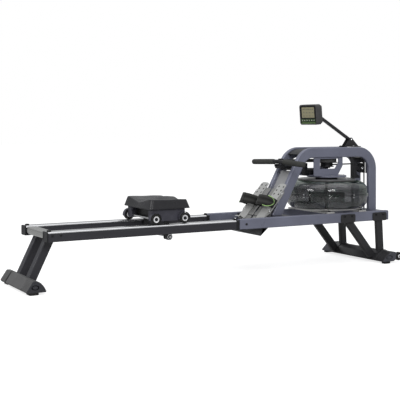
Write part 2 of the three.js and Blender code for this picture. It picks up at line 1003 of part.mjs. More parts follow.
// Centre panel between the hoop legs
function centrePanel() {
  const half = hoopInner - seatGap;
  const lean = radians(hoopLean);
  const face = (z) => hoopFrontAt(z) + panelRecess / Math.cos(lean);
  const back = (z) => face(z) + panelThickness / Math.cos(lean);
  const points = [
    at(face(panelLow), panelLow),
    at(back(panelLow), panelLow),
    at(back(panelTop), panelTop),
    at(face(panelTop), panelTop),
  ];
  return pushed("y", points, -half, half);
}

place(machine, "centre_panel", centrePanel(), warmGrey);

// The tank's shells curve from a flat base or neck out to their flange
const shellFoot = tankSplit - tankFlange;
const shellWaistShares = [
  [0, 0],
  [0.25, 0.02],
  [0.48, 0.09],
  [0.68, 0.22],
  [0.84, 0.42],
  [0.95, 0.68],
  [1, 1],
];

function shellLower() {
  const span = tankRadius - tankBaseRadius;
  const rise = tankSplit - tankBase - tankFlange * 5;
  return shellWaistShares.map(([u, v]) => [tankBaseRadius + u * span, tankBase + v * rise]);
}

// Cradle dish on two straps across the beams
function cradle() {
  const low = beamTop + seatGap;
  const level = tankBase - seatGap - cradleThickness;
  const under = shellLower().slice(0, cradleReach);
  const dish = turned(
    [
      [tankBossRadius * 2, level],
      ...under.map(([radius, height]) => [radius, height - seatGap - cradleThickness]),
      ...under.map(([radius, height]) => [radius, height - seatGap]).reverse(),
      [tankBossRadius * 2, tankBase - seatGap],
      [tankBossRadius * 2, level],
    ],
    tankX,
    tankSides,
  );
  const strap = level - low + cradleThickness / 2;
  const pieces = [-1, 1].map((way) => {
    const middle = tankX + (way * cradleStrapSpacing) / 2;
    const bar = block(
      middle - cradleStrapWidth / 2,
      middle + cradleStrapWidth / 2,
      -railOuter,
      railOuter,
      low,
      low + strap,
    );
    const bolts = sides.map(([, side]) => {
      const y = side * beamY;
      return rod([middle, y, low + strap / 2], [middle, y, low + strap + boltHead], boltRadius);
    });
    return joined(bar, ...bolts);
  });
  return joined(dish, ...pieces);
}

place(machine, "tank_cradle", cradle(), silver);

// Tank shells
function tankLower() {
  const outer = shellLower();
  const inner = outer.map(([radius, height]) => [radius - tankWall, height + tankWall]);
  const bossTop = tankBase + tankBossHeight;
  const socket = shaftRadius + turnGap;
  return turned(
    [
      [0, tankBase],
      ...outer,
      [tankRadius, shellFoot],
      [tankFlangeRadius, shellFoot],
      [tankFlangeRadius, tankSplit - seatGap],
      [tankRadius - tankWall, tankSplit - seatGap],
      ...inner.reverse(),
      [tankBossRadius, tankBase + tankWall],
      [tankBossRadius, bossTop],
      [socket, bossTop],
      [socket, tankBase + tankWall],
      [0, tankBase + tankWall],
    ],
    tankX,
    tankSides,
  );
}

function tankUpper() {
  const span = tankRadius - tankNeckRadius;
  const rise = tankTop - tankShoulder;
  const outer = shellWaistShares
    .map(([u, v]) => [tankNeckRadius + u * span, tankTop - v * rise])
    .reverse();
  const inner = outer.map(([radius, height]) => [radius - tankWall, height - tankWall]);
  return turned(
    [
      [tankRadius - tankWall, tankSplit],
      [tankFlangeRadius, tankSplit],
      [tankFlangeRadius, tankSplit + tankFlange],
      [tankRadius, tankSplit + tankFlange],
      ...outer,
      [tankNeckRadius - tankWall, tankTop],
      ...inner.reverse(),
      [tankRadius - tankWall, tankSplit],
    ],
    tankX,
    tankSides,
  );
}

// Screws through the tank flange, in pairs round the rim
const flangePairCount = 12;

function flangeScrews(low, high, radius) {
  const screws = [];
  for (let i = 0; i < flangePairCount; i++) {
    const turn = (2 * Math.PI * (i + 1 / 2)) / flangePairCount;
    const x = tankX + radius * Math.cos(turn);
    const y = radius * Math.sin(turn);
    screws.push(rod([x, y, low], [x, y, high], tankWall, 6));
  }
  return screws;
}

const flangeMiddle = (tankRadius + tankFlangeRadius) / 2;
const headTop = tankSplit + tankFlange * 1.6;
const rimScrews = flangeScrews(tankSplit + tankFlange / 2, headTop, flangeMiddle);
place(machine, "tank_lower", tankLower(), smoke);
place(machine, "tank_upper", joined(tankUpper(), ...rimScrews), smoke);

// Lid on the neck of the tank
function lid() {
  const low = tankTop + seatGap;
  const fit = tankNeckRadius - tankWall - seatGap * 2;
  const bore = shaftRadius + turnGap;
  const top = low + lidThickness;
  const collarRadius = bearingRadius * 0.55;
  return turned(
    [
      [bore, low - lidPlug],
      [fit, low - lidPlug],
      [fit, low],
      [lidRadius, low],
      [lidRadius, top - tankWall],
      [lidRadius - tankWall, top],
      [collarRadius, top],
      [collarRadius, bearingHeight - seatGap],
      [bore, bearingHeight - seatGap],
      [bore, low - lidPlug],
    ],
    tankX,
    tankSides,
  );
}

place(machine, "tank_lid", lid(), black);

// Impeller with its shaft

function impeller() {
  const hub = turned(
    [
      [0, tankBase + tankWall + turnGap],
      [shaftRadius, tankBase + tankWall + turnGap],
      [shaftRadius, bladeLow],
      [hubRadius, bladeLow],
      [hubRadius, bladeLow + bladeHeight],
      [shaftRadius, bladeLow + bladeHeight + hubRadius],
      [shaftRadius, shaftTop],
      [0, shaftTop],
    ],
    tankX,
    smallSides * 2,
  );
  const blades = [];
  for (let i = 0; i < bladeCount; i++) {
    const geometry = new THREE.BoxGeometry(bladeRadius - shaftRadius, bladeThickness, bladeHeight);
    geometry.translate((bladeRadius + shaftRadius) / 2, 0, bladeLow + bladeHeight / 2);
    geometry.rotateZ((2 * Math.PI * i) / bladeCount);
    geometry.translate(tankX, 0, 0);
    blades.push(solid(geometry));
  }
  return joined(hub, ...blades);
}

place(machine, "impeller", impeller(), black);

// Drive drum on the shaft: a cord groove below and a strap groove above

function drum() {
  const bore = shaftRadius + seatGap;
  const cordTop = cordGrooveLow + drumCordHeight;
  const strapTop = strapGrooveLow + strapWidth + strapGap * 2;
  const top = strapTop + drumFlange;
  const rim = drumCordRadius + drumLidHeight;
  return turned(
    [
      [bore, drumLow],
      [drumHub, drumLow],
      [drumHub, cordGrooveLow - drumFlange],
      [rim, cordGrooveLow - drumFlange],
      [rim, cordGrooveLow],
      [drumCordRadius, cordGrooveLow],
      [drumCordRadius, cordTop],
      [drumFlangeRadius, cordTop],
      [drumFlangeRadius, strapGrooveLow],
      [drumStrapRadius, strapGrooveLow],
      [drumStrapRadius, strapTop],
      [drumFlangeRadius, strapTop],
      [drumFlangeRadius, top],
      [bore, top],
      [bore, drumLow],
    ],
    tankX,
    roundSides + smallSides,
  );
}

place(machine, "drive_drum", drum(), black);

// Hanging bracket: two cheeks under the hoops, a floor and the bearing plate
const hangerShares = [
  [0, 0],
  [hangerFloorShare, 0],
  [1, 0.52],
  [1, 1],
  [0, 1],
];
const hangerWindowShares = [
  [0.2, 0.32],
  [0.68, 0.32],
  [0.82, 0.72],
  [0.82, 0.93],
  [0.2, 0.93],
];

function driveBracket() {
  const start = tankX - hangerAhead;
  const width = hangerAhead + hangerBehind;
  const height = hoopLow - seatGap - hangerLow;
  const shape = scaled(hangerShares, start, hangerLow, width, height);
  const window = scaled(hangerWindowShares, start, hangerLow, width, height);
  const cheeks = sides.map(([, side]) => {
    const middle = (side * hoopSpacing) / 2;
    const half = hangerThickness / 2;
    return pushed("y", shape, middle - half, middle + half, [window]);
  });
  const reach = (hoopSpacing + hangerThickness) / 2;
  const bore = shaftRadius + turnGap;
  const floorEnd = start + width * hangerFloorShare;
  const floor = block(start + overrun, floorEnd, -reach, reach, bearingTop - weld, floorTop);
  const disc = turned(
    [
      [0, bearingHeight],
      [bearingRadius, bearingHeight],
      [bearingRadius, bearingTop],
      [0, bearingTop],
    ],
    tankX,
    tankSides,
  );
  const hole = rod([tankX, 0, bearingHeight - overrun], [tankX, 0, hangerLow + overrun], bore, smallSides * 2);
  return cut(joined(...cheeks, floor, disc), hole);
}

place(machine, "drive_bracket", driveBracket(), slate);

// Strap guide, standing on the floor of the hanging bracket
const guideStart = tankX - guideAhead;
const guideEnd = guideStart + guideLength;
const guideMiddle = (guideStart + guideEnd) / 2;

function strapGuide() {
  const body = block(guideStart, guideEnd - hangerThickness, -guideHalf, guideHalf, guideLow, guideTop);
  const arms = sides.map(([, side]) =>
    block(
      guideEnd - hangerThickness * 2,
      guideEnd + guideArmLength,
      side * (guideHalf - guideArmThickness),
      side * guideHalf,
      floorTop + seatGap,
      floorTop + guideArmHeight,
    ),
  );
  const away = strapThickness / 2 + turnGap + guidePinRadius;
  const top = strapHeight + strapWidth / 2 + strapGap * 2;
  const pins = sides.map(([, side]) =>
    rod([guideMiddle, side * away, guideTop - overrun], [guideMiddle, side * away, top], guidePinRadius),
  );
  return joined(body, ...arms, ...pins);
}

place(machine, "strap_guide", strapGuide(), black);

// Where a line from a place in the middle plane touches a circle round the shaft, on the near side
function tangentSpot(x, radius) {
  const distance = x - tankX;
  const turn = Math.asin(radius / Math.abs(distance));
  const spot = at(tankX + Math.sign(distance) * radius * Math.sin(turn), -radius * Math.cos(turn));
  return { spot, turn, length: Math.abs(distance) * Math.cos(turn) };
}

// Strap from the guide to the drum, touching the drum on a tangent
function strapLead() {
  const reach = drumStrapRadius + seatGap + strapThickness / 2;
  const { turn, length } = tangentSpot(guideEnd, reach);
  const geometry = new THREE.BoxGeometry(length, strapThickness, strapWidth);
  geometry.translate(length / 2, 0, 0);
  geometry.rotateZ(-turn);
  geometry.translate(guideEnd, 0, strapHeight);
  return solid(geometry);
}

place(machine, "strap_lead", strapLead(), webbing);

// Handle: a bar swept back a little at both ends, with a clip for the strap
const handleEnd = [handleSetback - handleSweep, handleHalf, handleHeight - handleDroop];
const handleStart = [handleSetback, 0, handleHeight];

function handleRod(side, radius, fromShare, toShare) {
  const spot = (share) => [
    THREE.MathUtils.lerp(handleStart[0], handleEnd[0], share),
    side * THREE.MathUtils.lerp(handleStart[1], handleEnd[1], share),
    THREE.MathUtils.lerp(handleStart[2], handleEnd[2], share),
  ];
  return rod(spot(fromShare), spot(toShare), radius, smallSides + 2);
}

const gripEnd = overrun / handleHalf;

function handleBar() {
  const share = 1 - gripEnd;
  const halves = sides.map(([, side]) => handleRod(side, handleRadius, -gripEnd, share));
  const low = strapHeight - clipHeight / 2;
  const clip = block(
    handleSetback,
    handleSetback + clipLength,
    -clipWidth / 2,
    clipWidth / 2,
    low,
    low + clipHeight,
  );
  return joined(...halves, clip);
}

function grip(side) {
  const share = gripInset / handleHalf;
  const outer = handleRod(side, gripRadius, share, 1);
  const bore = handleRod(side, handleRadius + seatGap, share - gripEnd, 1 - gripEnd + seatGap / handleHalf);
  return cut(outer, bore);
}

place(machine, "handle_bar", handleBar(), black);
for (const [name, side] of sides) {
  place(machine, `handle_grip_${name}`, grip(side), foam);
}

// Pull strap from the handle's clip to the guide
function pullStrap() {
  const start = handleSetback + clipLength + seatGap;
  const half = strapThickness / 2;
  const end = guideEnd - half - seatGap;
  return block(start, end, -half, half, strapHeight - strapWidth / 2, strapHeight + strapWidth / 2);
}

place(machine, "pull_strap", pullStrap(), webbing);

// Handle rest on the hoops' inner faces, with two prongs under the bar
function handleRest() {
  const end = handleSetback - gripRadius + restLength + overrun;
  const start = end - restLength;
  const low = restTop - restHeight;
  const shelf = block(start, end, -restHalf, restHalf, low, restTop);
  const ears = block(end - restLength / 3, end, -hoopInner + seatGap, hoopInner - seatGap, low, restTop);
  const prongs = sides.map(([, side]) => {
    const y = (side * prongSpacing) / 2;
    const droop = (handleDroop * prongSpacing) / (2 * handleHalf);
    const under = handleHeight - handleRadius - droop - seatGap * 2;
    const x = handleSetback - prongLength / 2;
    return block(x, x + prongLength, y - prongThickness / 2, y + prongThickness / 2, restTop - overrun, under);
  });
  return joined(shelf, ears, ...prongs);
}

place(machine, "handle_rest", handleRest(), black);

// Return bracket between the hoop posts, with the pulley on its pin
const pulleyX = tankX + pulleyBehind;

function returnBracket() {
  const start = tankX + returnBehind;
  const end = hoopBack - hoopWall * 4;
  const high = hoopLow - overrun;
  const width = end - start;
  const height = high - returnLow;
  const shares = [
    [0, 0],
    [1, 0],
    [1, 0.8],
    [0.86, 1],
    [0, 1],
  ];
  const shape = scaled(shares, start, returnLow, width, height);
  const outer = hoopInner - seatGap;
  const cheeks = sides.map(([, side]) => pushed("y", shape, side * (outer - returnThickness), side * outer));
  const web = block(start, start + width / 2, -outer, outer, high - returnThickness, high);
  const foot = block(start, start + returnThickness, -outer, outer, returnLow, returnLow + height / 3);
  const pin = rod([pulleyX, -outer, pulleyHeight], [pulleyX, outer, pulleyHeight], pulleyPinRadius);
  return joined(...cheeks, web, foot, pin);
}

function pulley() {
  const bore = pulleyPinRadius + turnGap;
  const half = pulleyWidth / 2;
  const flat = cordRadius / 2;
  const profile = [
    [bore, -half],
    [pulleyRim, -half],
    [pulleyRim, -half + flat / 2],
    [pulleyRadius, -cordRadius],
    [pulleyRadius, cordRadius],
    [pulleyRim, half - flat / 2],
    [pulleyRim, half],
    [bore, half],
    [bore, -half],
  ];
  return wheel(profile, pulleyX, 0, pulleyHeight, roundSides);
}

place(machine, "return_bracket", returnBracket(), black);
place(machine, "return_pulley", pulley(), black);

// Return cord from the drum's lower groove over the pulley and down to the head cross member
function returnCord() {
  const { spot } = tangentSpot(pulleyX, drumCordRadius + seatGap + cordRadius);
  const quarter = new THREE.CatmullRomCurve3(
    arc(pulleyX, pulleyHeight, pulleyRide, 90, 0, bendSteps).map((p) => new THREE.Vector3(p.x, 0, p.y)),
  );
  const ring = new THREE.Shape(circle(0, 0, cordRadius, 8));
  const curved = new THREE.ExtrudeGeometry(ring, {
    steps: bendSteps,
    bevelEnabled: false,
    extrudePath: quarter,
  });
  const level = rod([spot.x, spot.y, cordLevel], [pulleyX + cordRadius / 4, 0, cordLevel], cordRadius, 8);
  const down = pulleyX + pulleyRide;
  const low = crossTop + seatGap;
  const drop = rod([down, 0, low], [down, 0, pulleyHeight + cordRadius / 4], cordRadius, 8);
  return joined(solid(curved), level, drop);
}

place(machine, "return_cord", returnCord(), rubber);

// Footboards and what slides and loops on them, in a frame that leans with them
const footFrame = new THREE.Group();
footFrame.position.set(footSetback, 0, footLevel);
footFrame.rotation.y = -radians(90 - footLean);
machine.add(footFrame);

// In this frame X runs up the plate and Z stands off it, towards the rower
function footboard(side) {
  const inner = footInner;
  const outline = [
    at(footLow, side * inner),
    at(footTop, side * inner),
    at(footTop, side * (footOuter - footChamfer)),
    at(footTop - footChamfer, side * footOuter),
    at(footTaper, side * footOuter),
    at(footLow, side * (footOuter - footTaper)),
  ];
  const slotReach = footStrapWidth / 2 + turnGap * 2;
  const slotHalf = footStrapThickness / 2 + turnGap;
  const slots = [footStrapInner, footStrapOuter].map((y) =>
    rectangle(
      footStrapPlace - slotReach,
      footStrapPlace + slotReach,
      side * (y - slotHalf),
      side * (y + slotHalf),
    ),
  );
  const board = pushed("z", outline, -footThickness, 0, slots);
  const screws = [footTop - holeInset, footTaper + holeInset].map((x) => {
    const y = side * (footOuter - footScrewRadius - turnGap * 2);
    const middle = x - holeInset / 2;
    return rod([middle, y, -footThickness / 2], [middle, y, footThickness / 3], footScrewRadius);
  });
  return joined(board, ...screws);
}

function slider(side) {
  const low = seatGap;
  const high = low + sliderThickness;
  const round = (sliderOuter - sliderInner) / 4;
  const outline = rounded(sliderLow, sliderTop, sliderInner, sliderOuter, round);
  const holes = [];
  for (let row = 0; row < holeRows; row++) {
    for (let column = 0; column < holeColumns; column++) {
      const x = sliderTop - holeInset - row * holePitch;
      const y = (sliderInner + sliderOuter) / 2 + (column - (holeColumns - 1) / 2) * holeSpread;
      holes.push(crossed(circle(y, x, holeRadius, 10), side).map((p) => at(p.y, p.x)));
    }
  }
  const plate = pushed("z", outline.map((p) => at(p.x, side * p.y)), low, high, holes);
  const heelOutline = [
    at(sliderLow, low),
    at(sliderLow + heelThickness, low),
    at(sliderLow + heelThickness, low + heelHeight * 0.7),
    at(sliderLow + heelThickness - heelHeight * 0.3, low + heelHeight),
    at(sliderLow - heelHeight * 0.3, low + heelHeight),
    at(sliderLow, low + heelHeight * 0.7),
  ];
  const heel = pushed("y", heelOutline, side * (sliderInner + round), side * (sliderOuter - round));
  return joined(plate, heel);
}

// A webbing arch over the foot, its ends down in the footboard's slots
function footStrap(side) {
  const middle = (footStrapInner + footStrapOuter) / 2;
  const half = (footStrapOuter - footStrapInner) / 2;
  const steps = bendSteps * 2;
  const thick = footStrapThickness / 2;
  const bulge = footStrapThickness * 2;
  const line = (grow) => {
    const points = [];
    for (let i = 0; i <= steps; i++) {
      const turn = Math.PI * (1 - i / steps);
      const swell = half + grow + bulge * Math.sin(turn) ** 2 * Math.cos(turn) ** 2 * 4;
      const rise = (footStrapRise + grow) * Math.sin(turn);
      points.push(at(side * (middle + swell * Math.cos(turn)), rise));
    }
    return points;
  };
  const deep = -footThickness - footStrapThickness;
  const outer = line(thick);
  const inner = line(-thick).reverse();
  const points = [
    at(outer[0].x, deep),
    ...outer,
    at(outer[steps].x, deep),
    at(inner[0].x, deep),
    ...inner,
    at(inner[steps].x, deep),
  ];
  const reach = footStrapWidth / 2;
  return pushed("x", points, footStrapPlace - reach, footStrapPlace + reach);
}

for (const [name, side] of sides) {
  place(footFrame, `footboard_${name}`, footboard(side), warmGrey);
  place(footFrame, `foot_slider_${name}`, slider(side), warmGrey);
  place(footFrame, `foot_strap_${name}`, footStrap(side), webbing);
}

// Monitor bracket on top of both hoops, with the arm's pin
function monitorBracket() {
  const start = armPivotSetback - bracketAhead;
  const end = start + bracketLength;
  const low = hoopTop + seatGap;
  const reach = hoopSpacing / 2 + hoopWidth / 2;
  const base = block(start, end, -reach, reach, low, low + bracketBase);
  const round = arc(armPivotSetback, armPivotHeight, bracketRound, 150, 20, bendSteps);
  const shape = [at(start, low), at(start, low + bracketBase), ...round, at(end, low + bracketBase), at(end, low)];
  const inner = armWidth / 2 + turnGap;
  const outer = inner + bracketCheek;
  const cheeks = sides.map(([, side]) => pushed("y", shape, side * inner, side * outer));
  const onPin = (y) => [armPivotSetback, y, armPivotHeight];
  const pin = rod(onPin(-outer), onPin(outer), armPinRadius);
  const heads = sides.map(([, side]) =>
    rod(onPin(side * (outer - weld)), onPin(side * (outer + boltHead)), boltRadius),
  );
  return joined(base, ...cheeks, pin, ...heads);
}

place(machine, "monitor_bracket", monitorBracket(), black);

// Arm from the bracket to the back of the monitor
function monitorArm() {
  const slope = THREE.MathUtils.radToDeg(Math.atan2(armRise, -armReach));
  const radius = armDepth / 2;
  const far = [armPivotSetback - armReach, armPivotHeight + armRise];
  const outline = [
    ...arc(armPivotSetback, armPivotHeight, radius, slope - 270, slope - 90, bendSteps),
    ...arc(far[0], far[1], radius, slope - 90, slope + 90, bendSteps),
  ];
  const bore = armPinRadius + turnGap;
  const holes = [
    circle(armPivotSetback, armPivotHeight, bore, smallSides),
    circle(far[0], far[1], bore, smallSides),
  ];
  return pushed("y", outline, -armWidth / 2, armWidth / 2, holes);
}

place(machine, "monitor_arm", monitorArm(), black);

// Monitor in a frame at its tilt pin: X towards the head, Z up its face
const monitorFrame = new THREE.Group();
monitorFrame.position.set(armPivotSetback - armReach, 0, armPivotHeight + armRise);
monitorFrame.rotation.y = -radians(monitorTilt);
machine.add(monitorFrame);

function monitorCase() {
  const back = -monitorPivotBehind;
  const front = back - monitorDepth;
  const halfWidth = monitorWidth / 2;
  const low = -monitorHeight / 2 + monitorPivotBehind / 3;
  const shell = rounded(-halfWidth, halfWidth, low, low + monitorHeight, monitorCorner);
  const body = pushed("x", shell, front, back - monitorDepth / 4);
  const rear = pushed("x", inset(shell, monitorDepth / 10), back - monitorDepth / 2, back);
  const halfPanel = monitorPanelWidth / 2 + seatGap;
  const panelFoot = low + (monitorHeight - monitorPanelHeight) / 2 - seatGap;
  const frame = rounded(
    -halfPanel,
    halfPanel,
    panelFoot,
    panelFoot + monitorPanelHeight + seatGap * 2,
    monitorCorner * 0.7,
  );
  const recess = pushed("x", frame, front - overrun, front + monitorPanelDepth);
  const inner = lugSpacing / 2 - lugThickness / 2;
  const lugShape = [
    at(back - overrun, -lugRadius * 1.5),
    ...arc(0, 0, lugRadius, -60, 60, bendSteps),
    at(back - overrun, lugRadius * 1.5),
  ];
  const lugs = sides.map(([, side]) => pushed("y", lugShape, side * inner, side * (inner + lugThickness)));
  const pinReach = inner + lugThickness + boltHead;
  const pin = rod([0, -pinReach, 0], [0, pinReach, 0], armPinRadius);
  return joined(cut(joined(body, rear), recess), ...lugs, pin);
}

function monitorPanel() {
  const front = -monitorPivotBehind - monitorDepth;
  const low = -monitorHeight / 2 + monitorPivotBehind / 3 + (monitorHeight - monitorPanelHeight) / 2;
  const half = monitorPanelWidth / 2;
  const shape = rounded(-half, half, low, low + monitorPanelHeight, monitorCorner * 0.7 - seatGap);
  return pushed("x", shape, front + seatGap / 2, front + monitorPanelDepth - seatGap);
}

place(monitorFrame, "monitor_case", monitorCase(), charcoal);
place(monitorFrame, "monitor_panel", monitorPanel(), panelGreen);

// Seat, in a frame at its middle on the rails' top
const seatFrame = new THREE.Group();
seatFrame.position.set(seatSetback, 0, railTop);
machine.add(seatFrame);

const wheelZ = wheelRadius + seatGap;
const wheelInner = railY - wheelWidth / 2;
const wheelOuter = railY + wheelWidth / 2;

// Contoured pad: rings from the middle of the top, over the edge and under to the middle
const padOutlinePower = 5;
const padEdgeShares = [
  [0.93, 0.99],
  [0.975, 0.93],
  [1, 0.78],
  [1, 0.45],
  [0.985, 0.15],
  [0.96, 0],
];
const padTopShares = [0.2, 0.4, 0.58, 0.74, 0.86];

function padTopAt(u, v) {
  const edge = Math.max(Math.abs(u), Math.abs(v));
  const cheek = Math.exp(-((u + 0.1) ** 2) / 0.2 - (Math.abs(v) - 0.42) ** 2 / 0.07);
  const rear = Math.exp(-((u - 0.62) ** 2) / 0.08) * Math.exp(-(v ** 2) / 0.5);
  return cushionHeight + cushionCrown * rear - cushionHollow * cheek * (1 - edge ** 6);
}

function seatPad() {
  const places = [];
  const faces = [];
  const rings = [];
  const point = (x, y, z) => places.push(x, y, z) / 3 - 1;
  const ringAt = (share, height) => {
    const ring = [];
    for (let i = 0; i < padSides; i++) {
      const turn = (2 * Math.PI * i) / padSides;
      const c = Math.cos(turn);
      const s = Math.sin(turn);
      const norm = (Math.abs(c) ** padOutlinePower + Math.abs(s) ** padOutlinePower) ** (-1 / padOutlinePower);
      const u = share * c * norm;
      const v = share * s * norm;
      ring.push(point((u * cushionDepth) / 2, v * cushionHalf, cushionLift + height(u, v)));
    }
    rings.push(ring);
  };
  const top = point(0, 0, cushionLift + padTopAt(0, 0));
  for (const share of padTopShares) ringAt(share, padTopAt);
  for (const [share, level] of padEdgeShares) ringAt(share, (u, v) => level * padTopAt(u, v));
  const bottom = point(0, 0, cushionLift);
  rings.forEach((ring, k) => {
    for (let i = 0; i < padSides; i++) {
      const next = (i + 1) % padSides;
      if (k === 0) faces.push(top, ring[i], ring[next]);
      else faces.push(rings[k - 1][i], ring[i], ring[next], rings[k - 1][i], ring[next], rings[k - 1][next]);
      if (k === rings.length - 1) faces.push(bottom, ring[next], ring[i]);
    }
  });
  const geometry = new THREE.BufferGeometry();
  geometry.setAttribute("position", new THREE.Float32BufferAttribute(places, 3));
  geometry.setIndex(faces);
  return solid(geometry);
}

// Carriage: a plate under the pad, skirts with wheel pins, and arms that reach below the rails
const rollerZ = -railHeight - rollerRadius - seatGap;
const armOuter = railInner - rollerArmInset;

function seatCarriage() {
  const half = carriageDepth / 2;
  const top = cushionLift - seatGap;
  const skirtOuter = wheelInner - turnGap;
  const skirtInner = skirtOuter - carriageSkirt;
  const plate = block(-half, half, -skirtOuter, skirtOuter, top - carriageThickness, top);
  const low = carriageClearance;
  const pieces = [plate];
  for (const [, side] of sides) {
    pieces.push(block(-half, half, side * skirtInner, side * skirtOuter, low, top));
    for (const way of [-1, 1]) {
      const x = (way * wheelBase) / 2;
      const end = side * (wheelOuter + turnGap + wheelWasher);
      pieces.push(rod([x, side * skirtInner, wheelZ], [x, end, wheelZ], wheelPinRadius));
      const washer = side * (wheelOuter + turnGap);
      pieces.push(rod([x, washer, wheelZ], [x, end, wheelZ], wheelPinRadius * 1.3));
    }
    const arm = rounded(
      -rollerArmWidth / 2,
      rollerArmWidth / 2,
      rollerZ - rollerArmWidth / 2,
      top - carriageThickness / 2,
      rollerArmWidth / 4,
    );
    const bore = circle(0, rollerZ, rollerPinRadius + turnGap, smallSides);
    pieces.push(pushed("y", arm, side * (armOuter - rollerArmThickness), side * armOuter, [bore]));
  }
  return joined(...pieces);
}

function seatWheel(x, y) {
  const bore = wheelPinRadius + turnGap;
  const half = wheelWidth / 2;
  const shoulder = wheelRadius * 0.1;
  const profile = [
    [bore, -half],
    [wheelRadius - shoulder, -half],
    [wheelRadius, -half + shoulder],
    [wheelRadius, half - shoulder],
    [wheelRadius - shoulder, half],
    [bore, half],
    [bore, -half],
  ];
  return wheel(profile, x, y, wheelZ, roundSides);
}

function underRollers() {
  const outer = railInner + rollerWidth + overrun;
  const axle = rod([0, -outer, rollerZ], [0, outer, rollerZ], rollerPinRadius);
  const rollers = sides.map(([, side]) =>
    rod(
      [0, side * (railInner + overrun / 2), rollerZ],
      [0, side * (railInner + rollerWidth), rollerZ],
      rollerRadius,
      roundSides,
    ),
  );
  return joined(axle, ...rollers);
}

place(seatFrame, "seat_pad", seatPad(), charcoal);
place(seatFrame, "seat_carriage", seatCarriage(), charcoal);
for (const [name, side] of sides) {
  place(seatFrame, `seat_wheel_tail_${name}`, seatWheel(-wheelBase / 2, side * railY), rubber);
  place(seatFrame, `seat_wheel_head_${name}`, seatWheel(wheelBase / 2, side * railY), rubber);
}
place(seatFrame, "under_roller_axle", underRollers(), black);

// The origin lies on the floor, under the middle of the whole machine
const headEnd = transportX + transportRadius;
machine.position.x = -(tailFootLow + headEnd) / 2;

export default part;
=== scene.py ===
import math

import bpy
from mathutils import Matrix, Vector


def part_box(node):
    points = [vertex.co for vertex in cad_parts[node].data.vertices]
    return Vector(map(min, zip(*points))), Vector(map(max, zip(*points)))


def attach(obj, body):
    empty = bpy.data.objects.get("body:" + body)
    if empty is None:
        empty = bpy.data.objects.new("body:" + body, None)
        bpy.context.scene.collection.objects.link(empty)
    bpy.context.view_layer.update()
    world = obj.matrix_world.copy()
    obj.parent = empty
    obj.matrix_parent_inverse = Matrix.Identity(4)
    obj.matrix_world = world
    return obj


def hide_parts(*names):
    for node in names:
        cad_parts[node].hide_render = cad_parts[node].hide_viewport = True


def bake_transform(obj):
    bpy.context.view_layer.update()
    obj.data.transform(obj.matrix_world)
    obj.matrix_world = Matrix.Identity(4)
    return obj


# A water rowing machine, in metres: X towards the tank, Y across, Z up from the floor.
# Places along X are given from the tail end of the rails.

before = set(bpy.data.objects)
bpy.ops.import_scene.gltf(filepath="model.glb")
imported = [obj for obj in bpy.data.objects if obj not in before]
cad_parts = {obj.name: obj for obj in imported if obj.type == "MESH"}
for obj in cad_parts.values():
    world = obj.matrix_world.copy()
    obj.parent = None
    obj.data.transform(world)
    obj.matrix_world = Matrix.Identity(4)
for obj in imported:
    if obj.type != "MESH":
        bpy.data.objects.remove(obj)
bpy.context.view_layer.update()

SIDES = (("left", 1), ("right", -1))
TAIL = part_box("rail_cap_left")[0].x
ROUND = 2 * math.pi

# The gap that the solids keep between two pieces
GAP = 0.0003

# Hand tools


def deselect():
    """Nothing selected, in object mode."""
    if bpy.context.mode != "OBJECT":
        bpy.ops.object.mode_set(mode="OBJECT")
    bpy.ops.object.select_all(action="DESELECT")


def take(shape):
    """The shape is the only one selected."""
    deselect()
    shape.select_set(True)
    bpy.context.view_layer.objects.active = shape
    return shape


def edit_all(shape):
    take(shape)
    bpy.ops.object.mode_set(mode="EDIT")
    bpy.ops.mesh.select_all(action="SELECT")


def closed(shape, merge=1e-6):
    """Seams merged, open ends filled and every face turned outwards."""
    edit_all(shape)
    bpy.ops.mesh.remove_doubles(threshold=merge)
    bpy.ops.mesh.delete_loose()
    bpy.ops.mesh.select_all(action="SELECT")
    bpy.ops.mesh.fill_holes(sides=0)
    bpy.ops.mesh.select_all(action="SELECT")
    bpy.ops.mesh.normals_make_consistent(inside=False)
    bpy.ops.object.mode_set(mode="OBJECT")
    return shape


def applied(shape, kind, **settings):
    """A modifier of that kind, applied."""
    take(shape)
    modifier = shape.modifiers.new(kind.lower(), kind)
    for name, value in settings.items():
        setattr(modifier, name, value)
    bpy.ops.object.modifier_apply(modifier=modifier.name)
    return shape


def eased(shape, edge, steps=2, angle=30):
    """Edges sharper than an angle rounded."""
    return applied(
        shape,
        "BEVEL",
        width=edge,
        segments=steps,
        limit_method="ANGLE",
        angle_limit=math.radians(angle),
    )


def smoothed(shape, angle=40):
    """Smooth shading that leaves flat faces flat."""
    take(shape)
    bpy.ops.object.shade_smooth_by_angle(angle=math.radians(angle))
    return applied(shape, "WEIGHTED_NORMAL", keep_sharp=True)


def worked(shape, edge=0.001, steps=2, angle=30):
    return smoothed(eased(shape, edge, steps, angle))


def cut(shape, *tools):
    """Each tool taken out of the shape."""
    for tool in tools:
        applied(shape, "BOOLEAN", operation="DIFFERENCE", solver="EXACT", object=tool)
        bpy.data.objects.remove(tool)
    return shape


def joined(first, *others):
    take(first)
    for other in others:
        other.select_set(True)
    bpy.ops.object.join()
    return first


def copied(shape, move):
    """A copy with its own mesh, moved by a matrix."""
    copy = shape.copy()
    copy.data = shape.data.copy()
    bpy.context.collection.objects.link(copy)
    copy.data.transform(move)
    return copy


def moved(shape, move):
    shape.data.transform(move)
    return shape


def mirrored(shape):
    """The same shape on the other side of the middle plane."""
    copy = copied(shape, Matrix.Scale(-1, 4, (0, 1, 0)))
    edit_all(copy)
    bpy.ops.mesh.normals_make_consistent(inside=False)
    bpy.ops.object.mode_set(mode="OBJECT")
    return smoothed(copy)


def spot(axis, a, b, along):
    """A point of an outline's plane, at a place along the axis across it."""
    if axis == "x":
        return Vector((along, a, b))
    if axis == "y":
        return Vector((a, along, b))
    return Vector((a, b, along))


